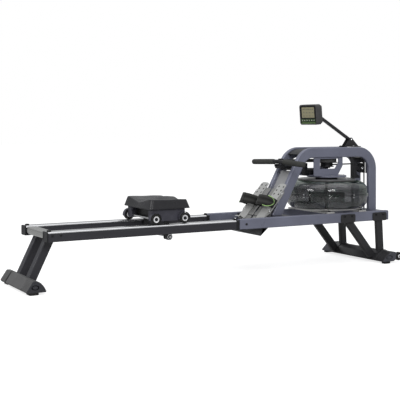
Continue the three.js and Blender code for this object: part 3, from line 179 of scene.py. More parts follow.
def plate(outline, axis, start, end):
    """A flat outline pushed along an axis. Its points are (Y, Z), (X, Z) or (X, Y)."""
    deselect()
    bpy.ops.mesh.primitive_circle_add(vertices=len(outline), fill_type="NGON")
    shape = bpy.context.object
    for vertex, (a, b) in zip(shape.data.vertices, outline):
        vertex.co = spot(axis, a, b, start)
    bpy.ops.object.mode_set(mode="EDIT")
    bpy.ops.mesh.select_all(action="SELECT")
    push = spot(axis, 0, 0, end - start)
    bpy.ops.mesh.extrude_region_move(TRANSFORM_OT_translate={"value": push})
    return closed(shape)


def block(low, high):
    (x0, y0, z0), (x1, y1, z1) = low, high
    return plate([(x0, y0), (x1, y0), (x1, y1), (x0, y1)], "z", z0, z1)


def arc(a, b, radius, start, end, steps):
    """Points on an arc, its angles in degrees."""
    turns = [math.radians(start + (end - start) * i / steps) for i in range(steps + 1)]
    return [(a + radius * math.cos(t), b + radius * math.sin(t)) for t in turns]


def rounded(a0, a1, b0, b1, radius, steps=5):
    """A rectangle with round corners."""
    return [
        *arc(a1 - radius, b1 - radius, radius, 0, 90, steps),
        *arc(a0 + radius, b1 - radius, radius, 90, 180, steps),
        *arc(a0 + radius, b0 + radius, radius, 180, 270, steps),
        *arc(a1 - radius, b0 + radius, radius, 270, 360, steps),
    ]


def rounded_top(a0, a1, b0, b1, radius, steps=5):
    """A rectangle with its two upper corners round."""
    return [
        *arc(a1 - radius, b1 - radius, radius, 0, 90, steps),
        *arc(a0 + radius, b1 - radius, radius, 90, 180, steps),
        (a0, b0),
        (a1, b0),
    ]


def scaled(shares, a, b, width, height):
    """An outline given in shares of a width and a height."""
    return [(a + u * width, b + v * height) for u, v in shares]


TURNS = {
    "x": Matrix(((0, 0, 1), (0, 1, 0), (-1, 0, 0))).to_4x4(),
    "y": Matrix(((1, 0, 0), (0, 0, 1), (0, -1, 0))).to_4x4(),
    "z": Matrix.Identity(4),
}


def turned(profile, centre, axis="z", steps=96):
    """A closed profile of (radius, place along the axis) turned once round the axis."""
    deselect()
    bpy.ops.mesh.primitive_circle_add(vertices=len(profile), fill_type="NOTHING")
    shape = bpy.context.object
    for vertex, (radius, along) in zip(shape.data.vertices, profile):
        vertex.co = (radius, 0, along)
    bpy.ops.object.mode_set(mode="EDIT")
    bpy.ops.mesh.select_all(action="SELECT")
    bpy.ops.mesh.spin(steps=steps, angle=ROUND, center=(0, 0, 0), axis=(0, 0, 1))
    bpy.ops.object.mode_set(mode="OBJECT")
    moved(shape, Matrix.Translation(centre) @ TURNS[axis])
    return closed(shape, merge=1e-5)


def formed(rows, columns, place):
    """A grid put where place(row, column) says. Rows and columns are whole numbers from 0."""
    deselect()
    bpy.ops.mesh.primitive_grid_add(x_subdivisions=columns, y_subdivisions=rows, size=2)
    shape = bpy.context.object
    for vertex in shape.data.vertices:
        column = round((vertex.co.x + 1) / 2 * columns)
        row = round((vertex.co.y + 1) / 2 * rows)
        vertex.co = place(row, column)
    return closed(shape)


def swept(stations, section):
    """A closed section carried along stations: points, each with its two cross directions."""
    count = len(section)

    def place(row, column):
        point, first, second = stations[row]
        a, b = section[column % count]
        return point + first * a + second * b

    return formed(len(stations) - 1, count, place)


def along(path, up):
    """Stations along a path of points, each turned so that its first cross direction is square to up."""
    stations = []
    for i, point in enumerate(path):
        way = (path[min(i + 1, len(path) - 1)] - path[max(i - 1, 0)]).normalized()
        across = way.cross(up).normalized()
        stations.append((point, across, way.cross(across)))
    return stations


def span(side, near, far):
    """Two places on one side of the middle plane, the lower one first."""
    return sorted((side * near, side * far))


def rod(start, end, radius, edge=0.0005, sides=40):
    """A round bar with eased ends."""
    start, end = Vector(start), Vector(end)
    length = (end - start).length
    profile = [
        (0, 0),
        (radius - edge, 0),
        (radius, edge),
        (radius, length - edge),
        (radius - edge, length),
        (0, length),
    ]
    shape = turned(profile, (0, 0, 0), steps=sides)
    aim = (end - start).to_track_quat("Z", "Y").to_matrix().to_4x4()
    return smoothed(moved(shape, Matrix.Translation(start) @ aim))


# A hexagon socket screw with its head up, made once
def screw_master():
    radius, height, socket = 0.006, 0.004, 0.0032
    head = turned(
        [(0, 0), (radius, 0), (radius, height * 0.7), (radius * 0.75, height), (0, height)],
        (0, 0, 0),
        steps=32,
    )
    hexagon = plate(arc(0, 0, socket, 0, 300, 5), "z", height * 0.45, height * 2)
    return worked(cut(head, hexagon), 0.0003, 2, 35)


SCREW = screw_master()


def screw(place, way, size=1.0):
    """A screw head standing at a place and facing a way."""
    aim = Vector(way).to_track_quat("Z", "Y").to_matrix().to_4x4()
    return copied(SCREW, Matrix.Translation(place) @ aim @ Matrix.Scale(size, 4))


def keep(shape, name, look, body, slot, *nodes):
    """A finished piece: its name and look, its body, and the nodes it stands for. The slot argument is not
    used.
    """
    shape.name = shape.data.name = name.replace(" ", "_")
    shape.data.materials.clear()
    shape.data.materials.append(look)
    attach(shape, body)
    if nodes:
        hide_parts(*nodes)
    return shape


# Materials


class Look:
    """A material being mixed: its nodes, and patterns in the object's own coordinates."""

    def __init__(self, name, **values):
        self.material = bpy.data.materials.new(name)
        self.material.use_nodes = True
        self.nodes = self.material.node_tree.nodes
        self.links = self.material.node_tree.links
        self.shader = self.nodes["Principled BSDF"]
        self.where = self.nodes.new("ShaderNodeTexCoord")
        for socket, value in values.items():
            self.shader.inputs[socket.replace("_", " ")].default_value = value

    def link(self, start, end):
        self.links.new(start, end)

    def mapped(self, stretch, source="Object"):
        node = self.nodes.new("ShaderNodeMapping")
        node.inputs["Scale"].default_value = stretch
        self.link(self.where.outputs[source], node.inputs["Vector"])
        return node.outputs["Vector"]

    def noise(self, scale, detail=3, stretch=(1, 1, 1)):
        node = self.nodes.new("ShaderNodeTexNoise")
        node.inputs["Scale"].default_value = scale
        node.inputs["Detail"].default_value = detail
        self.link(self.mapped(stretch), node.inputs["Vector"])
        return node.outputs["Fac"]

    def wave(self, scale, direction="X", source="Object", distortion=0):
        node = self.nodes.new("ShaderNodeTexWave")
        node.bands_direction = direction
        node.inputs["Scale"].default_value = scale
        node.inputs["Distortion"].default_value = distortion
        self.link(self.mapped((1, 1, 1), source), node.inputs["Vector"])
        return node.outputs["Fac"]

    def ranged(self, value, low, high, start=0.3, end=0.7):
        node = self.nodes.new("ShaderNodeMapRange")
        node.inputs["From Min"].default_value = start
        node.inputs["From Max"].default_value = end
        node.inputs["To Min"].default_value = low
        node.inputs["To Max"].default_value = high
        self.link(value, node.inputs["Value"])
        return node.outputs["Result"]

    def mixed(self, factor, first, second):
        node = self.nodes.new("ShaderNodeMix")
        node.data_type = "RGBA"
        self.link(factor, node.inputs["Factor"])
        for socket, value in ((node.inputs[6], first), (node.inputs[7], second)):
            if isinstance(value, tuple):
                socket.default_value = (*value, 1)
            else:
                self.link(value, socket)
        return node.outputs[2]

    def colour(self, value):
        self.link(value, self.shader.inputs["Base Color"])

    def rough(self, value):
        self.link(value, self.shader.inputs["Roughness"])

    def relief(self, value, depth, strength=0.5):
        """A bump of that depth in metres, on top of any other."""
        node = self.nodes.new("ShaderNodeBump")
        node.inputs["Strength"].default_value = strength
        node.inputs["Distance"].default_value = depth
        self.link(value, node.inputs["Height"])
        normal = self.shader.inputs["Normal"]
        if normal.is_linked:
            self.link(normal.links[0].from_socket, node.inputs["Normal"])
        self.link(node.outputs["Normal"], normal)


def grey(value, tint=(1, 1, 1)):
    return tuple(value * part for part in tint)


def painted(name, base, tint, roughness, metallic, grain=700, depth=0.0002, shine=0.4):
    """Powder coat: a fine orange peel over a colour that drifts a little."""
    look = Look(name, Metallic=metallic, Specular_IOR_Level=shine)
    drift = look.ranged(look.noise(5, 4), 0, 1)
    look.colour(look.mixed(drift, grey(base * 0.9, tint), grey(base * 1.1, tint)))
    peel = look.noise(grain, 2)
    look.rough(look.ranged(look.noise(14, 5), roughness * 0.85, roughness * 1.15))
    look.relief(peel, depth, 0.35)
    return look.material


def moulded(name, base, tint, roughness, grain=900, depth=0.00025, shine=0.3):
    """Moulded plastic: a fine spark-eroded grain, with faint rubbed patches."""
    look = Look(name, Specular_IOR_Level=shine)
    rubbed = look.ranged(look.noise(26, 6), 0, 1, 0.45, 0.75)
    look.colour(look.mixed(rubbed, grey(base, tint), grey(base * 1.35, tint)))
    look.rough(look.ranged(look.noise(60, 4), roughness * 0.9, roughness * 1.15))
    look.relief(look.noise(grain, 2), depth, 0.4)
    return look.material


def drawn_metal(name, base, tint, roughness, stretch, metallic=1.0):
    """Bare or anodised metal with fine lines along the way it was drawn."""
    look = Look(name, Metallic=metallic)
    lines = look.noise(160, 4, stretch)
    look.colour(look.mixed(look.ranged(lines, 0, 1), grey(base * 0.92, tint), grey(base * 1.06, tint)))
    look.rough(look.ranged(lines, roughness * 0.8, roughness * 1.25))
    look.relief(lines, 0.00006, 0.3)
    return look.material


BLUISH = (0.93, 0.95, 1.12)
WARM = (1.03, 1.0, 0.95)
ALONG_X = (0.02, 1, 1)
ALONG_Y = (1, 0.02, 1)

SLATE = painted("slate powder coat", 0.165, (0.92, 0.96, 1.26), 0.32, 0.1)
CHARCOAL = painted("charcoal powder coat", 0.022, (1, 0.98, 1.22), 0.4, 0.0)
BLACK_PAINT = painted("black powder coat", 0.021, (1, 0.98, 1.08), 0.36, 0.0)
TAIL_CAP_GREY = moulded("tail foot plastic", 0.06, (1, 0.99, 1.0), 0.5)
SLIDER_GREY = painted("heel plate coat", 0.36, (1.0, 1.0, 0.98), 0.38, 0.15, 600, 0.0003)
PANEL_GREY = painted("panel coat", 0.3, (1.0, 1.0, 1.02), 0.4, 0.1, 600, 0.0003)
FOOT_GREY = painted("foot bar grey", 0.085, (1, 0.99, 1.0), 0.55, 0.0, 500, 0.0004, 0.3)
LID_BLACK = moulded("tank lid plastic", 0.085, (1, 1, 1.03), 0.2, 400, 0.00005)
HEAD_CAP = moulded("head foot plastic", 0.06, BLUISH, 0.45)
BLACK_PLASTIC = moulded("black plastic", 0.01, BLUISH, 0.4)
GREY_PLASTIC = moulded("charcoal foot plastic", 0.03, BLUISH, 0.5)
RAIL_DARK = drawn_metal("dark anodised rail", 0.034, (0.96, 0.94, 1.14), 0.36, ALONG_X, 0.35)
TRACK = drawn_metal("bright rail track", 0.72, (0.98, 0.98, 1.0), 0.24, ALONG_X)
SILVER = drawn_metal("silver cross tube", 0.46, (1.0, 1.0, 0.97), 0.22, ALONG_Y)
STEEL = drawn_metal("plated screws", 0.72, (0.98, 0.99, 1.0), 0.2, (1, 1, 1))
PLATE_GREY = painted("warm grey plates", 0.19, (1.0, 1.0, 0.98), 0.42, 0.1, 600, 0.0003)
CRADLE = drawn_metal("cradle sheet", 0.6, (1, 0.99, 0.97), 0.32, (1, 1, 1), 0.85)


def rubber():
    look = Look("bumper rubber", Specular_IOR_Level=0.25)
    dust = look.ranged(look.noise(70, 6), 0, 1, 0.5, 0.8)
    look.colour(look.mixed(dust, grey(0.012), grey(0.03, WARM)))
    look.rough(look.ranged(dust, 0.62, 0.8, 0, 1))
    look.relief(look.noise(500, 3), 0.0003, 0.5)
    return look.material


def foam():
    """Closed-cell grip foam: pores over soft unevenness."""
    look = Look("grip foam", Specular_IOR_Level=0.25)
    pores = look.noise(1400, 3)
    look.colour(look.mixed(look.ranged(look.noise(18, 4), 0, 1), (0.03, 0.031, 0.029), (0.045, 0.046, 0.042)))
    look.rough(look.ranged(pores, 0.7, 0.88))
    look.relief(pores, 0.0005, 0.6)
    look.relief(look.noise(55, 3), 0.0006, 0.35)
    return look.material


def webbing():
    """Ribbed webbing: ribs along the strap and a fine weft across it."""
    look = Look("black webbing", Specular_IOR_Level=0.2)
    ribs = look.wave(9, "X", "UV")
    weft = look.wave(38, "Y", "UV")
    look.colour(look.mixed(ribs, (0.006, 0.006, 0.0055), (0.03, 0.03, 0.028)))
    look.rough(look.ranged(weft, 0.62, 0.85, 0, 1))
    look.relief(ribs, 0.0006, 0.6)
    look.relief(weft, 0.0003, 0.5)
    look.shader.inputs["Sheen Weight"].default_value = 0.08
    return look.material


def strap_cloth(name, along):
    """Narrow woven strap with its ribs along its length."""
    look = Look(name)
    ribs = look.wave(170, "Z")
    weft = look.wave(200, along)
    look.colour(look.mixed(ribs, (0.02, 0.02, 0.02), (0.07, 0.07, 0.07)))
    look.rough(look.ranged(weft, 0.6, 0.8, 0, 1))
    look.relief(ribs, 0.0003, 0.5)
    look.relief(weft, 0.0002, 0.4)
    return look.material


def smoked_shell(name, clear, painted_slant_tint):
    """Smoky clear plastic whose smoke drifts a little. Where the wall is seen at a slant the colour turns to
    a second tint, painted light: it stands in for the water reflected and refracted in the slanting wall.
    """
    look = Look(name, Transmission_Weight=1, IOR=1.46)
    depth = look.ranged(look.noise(4, 3), 0, 1)
    wall = look.mixed(depth, grey(clear * 0.92), grey(clear * 1.08, (1.0, 0.99, 1.05)))
    edge = look.nodes.new("ShaderNodeLayerWeight")
    edge.inputs["Blend"].default_value = 0.4
    # Painted reflection: the colour is mixed towards the slant tint where the eye looks along the wall.
    look.colour(look.mixed(look.ranged(edge.outputs["Facing"], 0, 1, 0.22, 0.8), wall, painted_slant_tint))
    look.rough(look.ranged(look.noise(20, 3), 0.01, 0.03))
    return look.material


def water():
    look = Look("water", Alpha=0.35, IOR=1.33)
    ripple = look.noise(30, 2)
    look.colour(look.mixed(look.ranged(ripple, 0, 1), (0.03, 0.06, 0.05), (0.05, 0.09, 0.075)))
    look.rough(look.ranged(ripple, 0.02, 0.06))
    look.relief(ripple, 0.001, 0.2)
    return look.material


def seat_skin(name, base):
    """Moulded skin over foam: a leather grain with rubbed high places."""
    look = Look(name, Specular_IOR_Level=0.28)
    cells = look.nodes.new("ShaderNodeTexVoronoi")
    cells.feature = "DISTANCE_TO_EDGE"
    cells.inputs["Scale"].default_value = 420
    look.link(look.mapped((1, 1, 1)), cells.inputs["Vector"])
    grain = look.ranged(cells.outputs["Distance"], 0, 1, 0, 0.35)
    low, high = grey(base * 0.9, (0.97, 0.96, 1.1)), grey(base * 1.12, (0.98, 0.97, 1.08))
    look.colour(look.mixed(look.ranged(look.noise(12, 5), 0, 1), low, high))
    look.rough(look.ranged(look.noise(30, 4), 0.26, 0.34))
    look.relief(grain, 0.0003, 0.45)
    return look.material


def lcd():
    """An unlit display: a pale green-beige glass with the faintest grid."""
    look = Look("display glass", IOR=1.5)
    rows = look.wave(110, "Z")
    look.colour(look.mixed(look.ranged(rows, 0, 0.35, 0, 1), (0.27, 0.25, 0.155), (0.22, 0.205, 0.125)))
    look.rough(look.ranged(look.noise(30, 3), 0.1, 0.18))
    return look.material


def strip_green():
    look = Look("dark green key strip", Specular_IOR_Level=0.3)
    look.colour(look.mixed(look.ranged(look.noise(40, 4), 0, 1), (0.014, 0.03, 0.008), (0.02, 0.045, 0.012)))
    look.rough(look.ranged(look.noise(80, 3), 0.3, 0.42))
    look.relief(look.noise(900, 2), 0.0002, 0.3)
    return look.material


def edging():
    look = Look("green edging cord")
    look.colour(look.mixed(look.wave(260, "DIAGONAL"), (0.2, 0.36, 0.1), (0.34, 0.52, 0.2)))
    look.rough(look.ranged(look.noise(300, 3), 0.5, 0.7))
    look.relief(look.wave(260, "DIAGONAL"), 0.0003, 0.5)
    return look.material


def cord_cover():
    look = Look("braided cord")
    braid = look.wave(330, "DIAGONAL", distortion=2)
    look.colour(look.mixed(braid, (0.012, 0.012, 0.012), (0.05, 0.05, 0.05)))
    look.rough(look.ranged(braid, 0.55, 0.75, 0, 1))
    look.relief(braid, 0.0003, 0.5)
    return look.material


RUBBER = rubber()
FOAM = foam()
WEBBING = webbing()
STRAP_X = strap_cloth("strap cloth", "X")
# Painted light on the shells: the upper shell turns green where its wall is seen at a slant, a painted
# reflection of the water, and the lower shell turns a darker grey there, painted shade.
SMOKE_UPPER = smoked_shell("smoked upper shell", 0.5, (0.03, 0.17, 0.05))
SMOKE_LOWER = smoked_shell("smoked lower shell", 0.68, (0.3, 0.3, 0.31))
WATER = water()
SEAT_TOP = seat_skin("seat skin", 0.019)
SHELL_BLUE = moulded("seat shell plastic", 0.045, (0.95, 0.93, 1.2), 0.42)
MONITOR_SHELL = moulded("monitor shell", 0.05, (1, 0.97, 0.99), 0.45)
GLOSS_BLACK = moulded("black bezel", 0.007, (1, 1, 1.03), 0.3, 400, 0.00005, 0.2)
WHITE_HUB = moulded("white hub", 0.7, (1, 1, 1.02), 0.35)
PALE_MARK = moulded("pale key marks", 0.45, (0.95, 1, 0.85), 0.4)
LCD = lcd()
STRIP_GREEN = strip_green()
EDGING = edging()
CORD = cord_cover()
DISPLAY_INK = moulded("display ink", 0.1, (1.0, 0.98, 0.75), 0.3)

# Rails, their caps, bumpers and joint collars

TRACK_HEIGHT = 0.0062
TRACK_CORNER = 0.0075
RAIL_CORNER = 0.005
SHADOW_LINE = 0.0012


def rail(name, side):
    (_, inner, low), (_, outer, top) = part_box("rail_cap_left")
    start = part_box("rail_left")[0].x
    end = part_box("rail_left")[1].x
    track_low = top - TRACK_HEIGHT
    groove = track_low - SHADOW_LINE
    body = plate(
        [
            *arc(inner + RAIL_CORNER, low + RAIL_CORNER, RAIL_CORNER, 180, 270, 5),
            *arc(outer - RAIL_CORNER, low + RAIL_CORNER, RAIL_CORNER, 270, 360, 5),
            (outer, groove),
            (outer - SHADOW_LINE, groove),
            (outer - SHADOW_LINE, track_low),
            (inner + SHADOW_LINE, track_low),
            (inner + SHADOW_LINE, groove),
            (inner, groove),
        ],
        "x",
        start,
        end,
    )
    track = plate(rounded_top(inner, outer, track_low, top, TRACK_CORNER, 6), "x", start, end)
    for shape in (body, track):
        worked(shape, 0.0005, 2, 50)
    if side < 0:
        body, track = flipped(body), flipped(track)
    keep(body, f"rail body {name}", RAIL_DARK, "frame", "rail_alloy", f"rail_{name}")
    keep(track, f"rail track {name}", TRACK, "frame", "silver")
    screws_x = (0.027, 0.069)
    height = top - 0.019
    heads = [screw((TAIL + x, side * outer, height), (0, side, 0)) for x in screws_x]
    keep(joined(*heads), f"rail screws {name}", BLACK_PLASTIC, "frame", "black_plastic")


def flipped(shape):
    """A finished shape moved to the other side, in place of itself."""
    copy = mirrored(shape)
    bpy.data.objects.remove(shape)
    return copy


def rail_cap(name, side):
    (start, inner, low), (_, outer, top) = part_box("rail_cap_left")
    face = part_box("rail_left")[0].x
    cover = plate(rounded(inner, outer, low, top, 0.0065, 6), "x", start, face)
    eased(cover, 0.0022, 3, 50)
    rim = 0.009
    inset = rounded(inner + rim, outer - rim, low + rim, top - rim, 0.004)
    dish = plate(inset, "x", start - 0.01, start + 0.001)
    worked(cut(cover, dish), 0.0004, 2, 50)
    shape = flipped(cover) if side < 0 else cover
    keep(shape, f"rail end cap {name}", BLACK_PLASTIC, "frame", "black_plastic", f"rail_cap_{name}")


def bumper(x, y, low, high, radius):
    """A round rubber button with an eased crown."""
    shoulder = (high - low) / 3
    crown = arc(radius - shoulder, high - shoulder, shoulder, 10, 90, 4)
    profile = [(0, low), (radius, low), (radius, high - shoulder), *crown, (0, high)]
    return smoothed(turned(profile, (x, y, 0), steps=48))


def tail_bumper(name):
    (x0, y0, low), (x1, y1, high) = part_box(f"tail_bumper_{name}")
    middle = ((x0 + x1) / 2, (y0 + y1) / 2)
    height, radius = 0.62 * (high - low), 0.6 * (x1 - x0)
    button = bumper(*middle, low, low + height, radius)
    keep(button, f"tail bumper {name}", RUBBER, "frame", "rubber", f"tail_bumper_{name}")


def rail_joint(name, side):
    (_, inner, low), (_, outer, high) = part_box("rail_joint_left")
    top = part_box("rail_cap_left")[1].z
    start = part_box("rail_left")[1].x + GAP
    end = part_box("beam_left")[0].x - GAP
    band = plate(rounded_top(inner, outer, low, top, 0.0065), "x", start, end)
    worked(band, 0.0012, 3, 40)
    band = flipped(band) if side < 0 else band
    middle = (start + end) / 2
    y = side * (inner + outer) / 2
    button = bumper(middle, y, top - 0.001, high, 0.009)
    keep(band, f"rail joint {name}", BLACK_PLASTIC, "frame", "black_plastic", f"rail_joint_{name}")
    keep(button, f"head bumper {name}", RUBBER, "frame", "rubber")
    pin = screw((middle, y, high - 0.0005), (0, 0, 1), 0.8)
    keep(pin, f"head bumper screw {name}", STEEL, "frame", "silver")


# The tube in the photograph is shallower than its solid
CROSS_TUBE_SHARE = 0.66


def tail_cross_tube():
    (x0, y0, z0), (x1, y1, z1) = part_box("tail_cross_tube")
    x1 = x0 + CROSS_TUBE_SHARE * (x1 - x0)
    wall, corner = 0.0025, 0.011
    tube = plate(rounded(x0, x1, z0, z1, corner, 8), "y", y0, y1)
    bore = plate(rounded(x0 + wall, x1 - wall, z0 + wall, z1 - wall, corner - wall, 8), "y", y0 - 1, y1 + 1)
    worked(cut(tube, bore), 0.0004, 2, 50)
    keep(tube, "tail cross tube", SILVER, "frame", "silver", "tail_cross_tube")


# Beams under the tank


def beam(name, side):
    (start, inner, low), (end, _, top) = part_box("beam_left")
    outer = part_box("rail_cap_left")[1].y
    corner = 0.006
    tube = plate(rounded(inner, outer, low, top, corner, 6), "x", start, end - 0.003)
    worked(tube, 0.0008, 2, 50)
    inset = 0.001
    opening = rounded(inner + inset, outer - inset, low + inset, top - inset, corner, 6)
    plug = plate(opening, "x", end - 0.0035, end)
    worked(plug, 0.0012, 3, 50)
    if side < 0:
        tube, plug = flipped(tube), flipped(plug)
    keep(tube, f"beam tube {name}", SLATE, "frame", "slate_paint", f"beam_{name}")
    keep(plug, f"beam plug {name}", GREY_PLASTIC, "frame", "grey_plastic")
    bolt = screw((start + 0.042, side * outer, (low + top) / 2), (0, side, 0), 1.05)
    keep(bolt, f"beam bolt {name}", BLACK_PLASTIC, "frame", "black_plastic")


# Foot bars and their ends

TAIL_FOOT = ((0, 0.14), (0.33, 1), (0.52, 0.98), (0.7, 0.82), (0.87, 0.5), (1, 0.08), (0.96, 0), (0.05, 0))
HEAD_FOOT = ((0, 0.08), (0.25, 0.66), (0.5, 1), (0.7, 0.95), (0.87, 0.8), (1, 0.52), (0.63, 0), (0.03, 0))
PAD_HEIGHT = 0.011
PAD_LENGTH = 0.046
END_PLATE = 0.0015
RECESS_SIZE = (0.19, 0.2)
TAIL_END_LENGTH = 0.065
SEAM = 0.02


def foot_outline(shares, cap):
    """The foot's outline in X and Z, above its pad."""
    (x0, _, _), (x1, _, top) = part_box(cap)
    return scaled(shares, x0, PAD_HEIGHT, x1 - x0, top - PAD_HEIGHT)


def foot_bar(shares, cap, half, ease):
    bar = plate(foot_outline(shares, cap), "y", -half, half)
    eased(bar, ease, 4, 12)
    return smoothed(bar, 30)


def foot_end(shares, cap, inner, outer, ease):
    """A moulded foot end, on the left."""
    end = plate(foot_outline(shares, cap), "y", inner, outer - END_PLATE)
    return smoothed(eased(end, ease, 4, 12), 30)


def end_plate(shares, cap, outer, place):
    """The plate over a foot end, with an oval ring pressed in it."""
    (x0, _, _), (x1, _, top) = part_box(cap)
    length, height = x1 - x0, top - PAD_HEIGHT
    x, z = x0 + place * length, PAD_HEIGHT + 0.44 * height
    inset = [(0.5 + (a - 0.5) * 0.95, 0.5 + (b - 0.5) * 0.91) for a, b in shares]
    cover = plate(foot_outline(inset, cap), "y", outer - 3 * END_PLATE, outer)
    rings = []
    for size in (1.0, 0.72):
        oval = [
            (x + a * RECESS_SIZE[0] * length * size, z + b * RECESS_SIZE[1] * height * size)
            for a, b in arc(0, 0, 1, 0, 352.5, 47)
        ]
        rings.append(oval)
    groove = cut(
        plate(rings[0], "y", outer - END_PLATE, outer + 0.01),
        plate(rings[1], "y", outer - 2 * END_PLATE, outer + 0.02),
    )
    return worked(cut(cover, groove), 0.0003, 2, 50)


def foot_pad(start, inner, outer):
    pad = plate(rounded(start, start + PAD_LENGTH, inner, outer, 0.008), "z", 0, PAD_HEIGHT + 0.002)
    return worked(pad, 0.0015, 3, 50)


def tail_feet():
    """The foot bar, its ends and pads. The left end leaves a dark gap, where the core shows."""
    cap = "tail_foot_cap_left"
    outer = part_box(cap)[1].y
    inner = outer - TAIL_END_LENGTH
    bar = foot_bar(TAIL_FOOT, cap, inner - SEAM, 0.005)
    keep(bar, "tail foot bar", FOOT_GREY, "frame", "grey_plastic")
    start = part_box(cap)[0].x + 0.018
    slim = [(0.16 + 0.68 * a, 0.1 + 0.66 * b) for a, b in TAIL_FOOT]
    neck = plate(foot_outline(slim, cap), "y", inner - 2 * SEAM, inner + SEAM)
    keep(worked(neck, 0.002, 2, 50), "tail foot core", GLOSS_BLACK, "frame", "black_plastic")
    cover = end_plate(TAIL_FOOT, cap, outer, 0.44)
    pad = foot_pad(start, inner + 0.004, outer - 0.004)
    for name, joint in (("right", inner - SEAM + 0.0005), ("left", inner)):
        end = foot_end(TAIL_FOOT, cap, joint, outer, 0.006)
        pieces = [end, pad, cover]
        if name == "right":
            pieces = [mirrored(piece) for piece in pieces]
            bpy.data.objects.remove(end)
        node = f"tail_foot_cap_{name}"
        keep(pieces[0], f"tail foot end {name}", TAIL_CAP_GREY, "frame", "grey_plastic", node)
        keep(pieces[1], f"tail pad {name}", RUBBER, "frame", "rubber")
        # Painted shade: the tail end plates take a darker plastic than the foot ends round them, for the
        # shade on the end face. The oval ring pressed in them is real.
        keep(pieces[2], f"tail end plate {name}", GREY_PLASTIC, "frame", "black_plastic")


TAIL_LEG_LEAN = math.radians(26)
TAIL_LEG_DEPTH = 0.043
TAIL_LEG_WIDTH = 0.042
TAIL_LEG_SPACING = 0.14
TAIL_LEG_INSET = 0.031


def slanted(top_x, top_z, low_z, lean, depth):
    """A leaning tube's outline in X and Z, from its upper tail corner. A positive lean goes tailwards."""
    width = depth / math.cos(lean)
    shift = (top_z - low_z) * math.tan(lean)
    return [(top_x, top_z), (top_x + width, top_z), (top_x + width - shift, low_z), (top_x - shift, low_z)]


def tube_leg(outline, inner, outer, ease=0.005):
    leg = plate(outline, "y", inner, outer)
    return worked(leg, ease, 4, 50)


def tail_legs():
    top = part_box("tail_stand")[1].z
    low = PAD_HEIGHT + 0.028
    outline = slanted(TAIL + TAIL_LEG_INSET, top, low, TAIL_LEG_LEAN, TAIL_LEG_DEPTH)
    middle = TAIL_LEG_SPACING / 2
    leg = tube_leg(outline, middle - TAIL_LEG_WIDTH / 2, middle + TAIL_LEG_WIDTH / 2)
    other = mirrored(leg)
    keep(leg, "tail leg left", CHARCOAL, "frame", "black_paint", "tail_stand")
    keep(other, "tail leg right", CHARCOAL, "frame", "black_paint")


TRANSPORT_SHARE = 0.93
TRANSPORT_HEIGHT = 0.037
TRANSPORT_RADIUS = 0.024
TRANSPORT_POCKET = 0.0256
HEAD_FOOT_HALF = 0.285
HEAD_END_LENGTH = 0.075


def head_feet():
    """The foot bar, its ends and pads, and the transport wheels in the pockets of the ends."""
    cap = "head_foot_cap_left"
    outer = HEAD_FOOT_HALF
    inner = outer - HEAD_END_LENGTH
    (x0, _, _), (x1, _, _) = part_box(cap)
    axle = x0 + (x1 - x0) * TRANSPORT_SHARE
    bar = foot_bar(HEAD_FOOT, cap, inner, 0.006)
    keep(bar, "head foot bar", BLACK_PAINT, "frame", "black_paint", "head_foot_bar")
    end = foot_end(HEAD_FOOT, cap, inner + 0.001, outer, 0.006)
    cover = end_plate(HEAD_FOOT, cap, outer, 0.36)
    pocket_inner = outer - 0.0188
    profile = [(0, pocket_inner), (TRANSPORT_POCKET, pocket_inner), (TRANSPORT_POCKET, 0.3), (0, 0.3)]
    pocket = turned(profile, (axle, 0, TRANSPORT_HEIGHT), "y", 64)
    smoothed(cut(cover, copied(pocket, Matrix())))
    smoothed(cut(end, pocket))
    pad = foot_pad(x0 + 0.014, outer - 0.034, outer - 0.003)
    wheel = transport_wheel(axle, outer - 0.009)
    tip = 0.288
    pin = rod((axle, pocket_inner - 0.004, TRANSPORT_HEIGHT), (axle, tip, TRANSPORT_HEIGHT), 0.006)
    button = [(0, 0.2854), (0.0092, 0.2854), (0.0092, 0.2872), (0.0075, tip), (0, tip)]
    head = turned(button, (axle, 0, TRANSPORT_HEIGHT), "y", 48)
    joined(pin, smoothed(head))
    left = [end, pad, wheel, pin, cover]
    # Painted light and shade: the two foot ends are one moulding, but the far left end takes the lighter grey
    # and the near right end the black paint.
    for name, body, shapes in (("right", BLACK_PAINT, [mirrored(s) for s in left]), ("left", HEAD_CAP, left)):
        keep(shapes[4], f"head end plate {name}", HEAD_CAP, "frame", "black_plastic")
        keep(shapes[0], f"head foot end {name}", body, "frame", "black_plastic", f"head_foot_cap_{name}")
        keep(shapes[1], f"head pad {name}", RUBBER, "frame", "rubber")
        wheel_node = f"transport_wheel_{name}"
        keep(shapes[2], f"transport tyre {name}", RUBBER, wheel_node, "rubber", wheel_node)
        keep(shapes[3], f"transport pin {name}", WHITE_HUB, "frame", "silver")


def transport_wheel(x, y):
    """A small rubber wheel with a dished face."""
    half, radius = 0.009, TRANSPORT_RADIUS
    profile = [
        (0.0064, y - half),
        (0.012, y - half),
        (0.014, y - half + 0.002),
        (0.018, y - half + 0.002),
        (0.0195, y - half),
        (radius - 0.002, y - half),
        (radius, y - half + 0.003),
        (radius, y + half - 0.003),
        (radius - 0.002, y + half),
        (0.0195, y + half),
        (0.018, y + half - 0.002),
        (0.014, y + half - 0.002),
        (0.012, y + half),
        (0.0064, y + half),
    ]
    return worked(turned(profile, (x, 0, TRANSPORT_HEIGHT), "y", 72), 0.0005, 2, 30)


# Head legs

LEG_PLATE = 0.005
HEAD_LEG_WIDTH = 0.028
UPRIGHT_DEPTH = 0.044
UPRIGHT_INSET = 0.071
UPRIGHT_FOOT = 0.012
DIAGONAL_DEPTH = 0.046
DIAGONAL_LEAN = math.radians(40)
BOLT_PLATE = 0.103
PLATE_SPACING = 0.232
SADDLE_LIP = 0.007


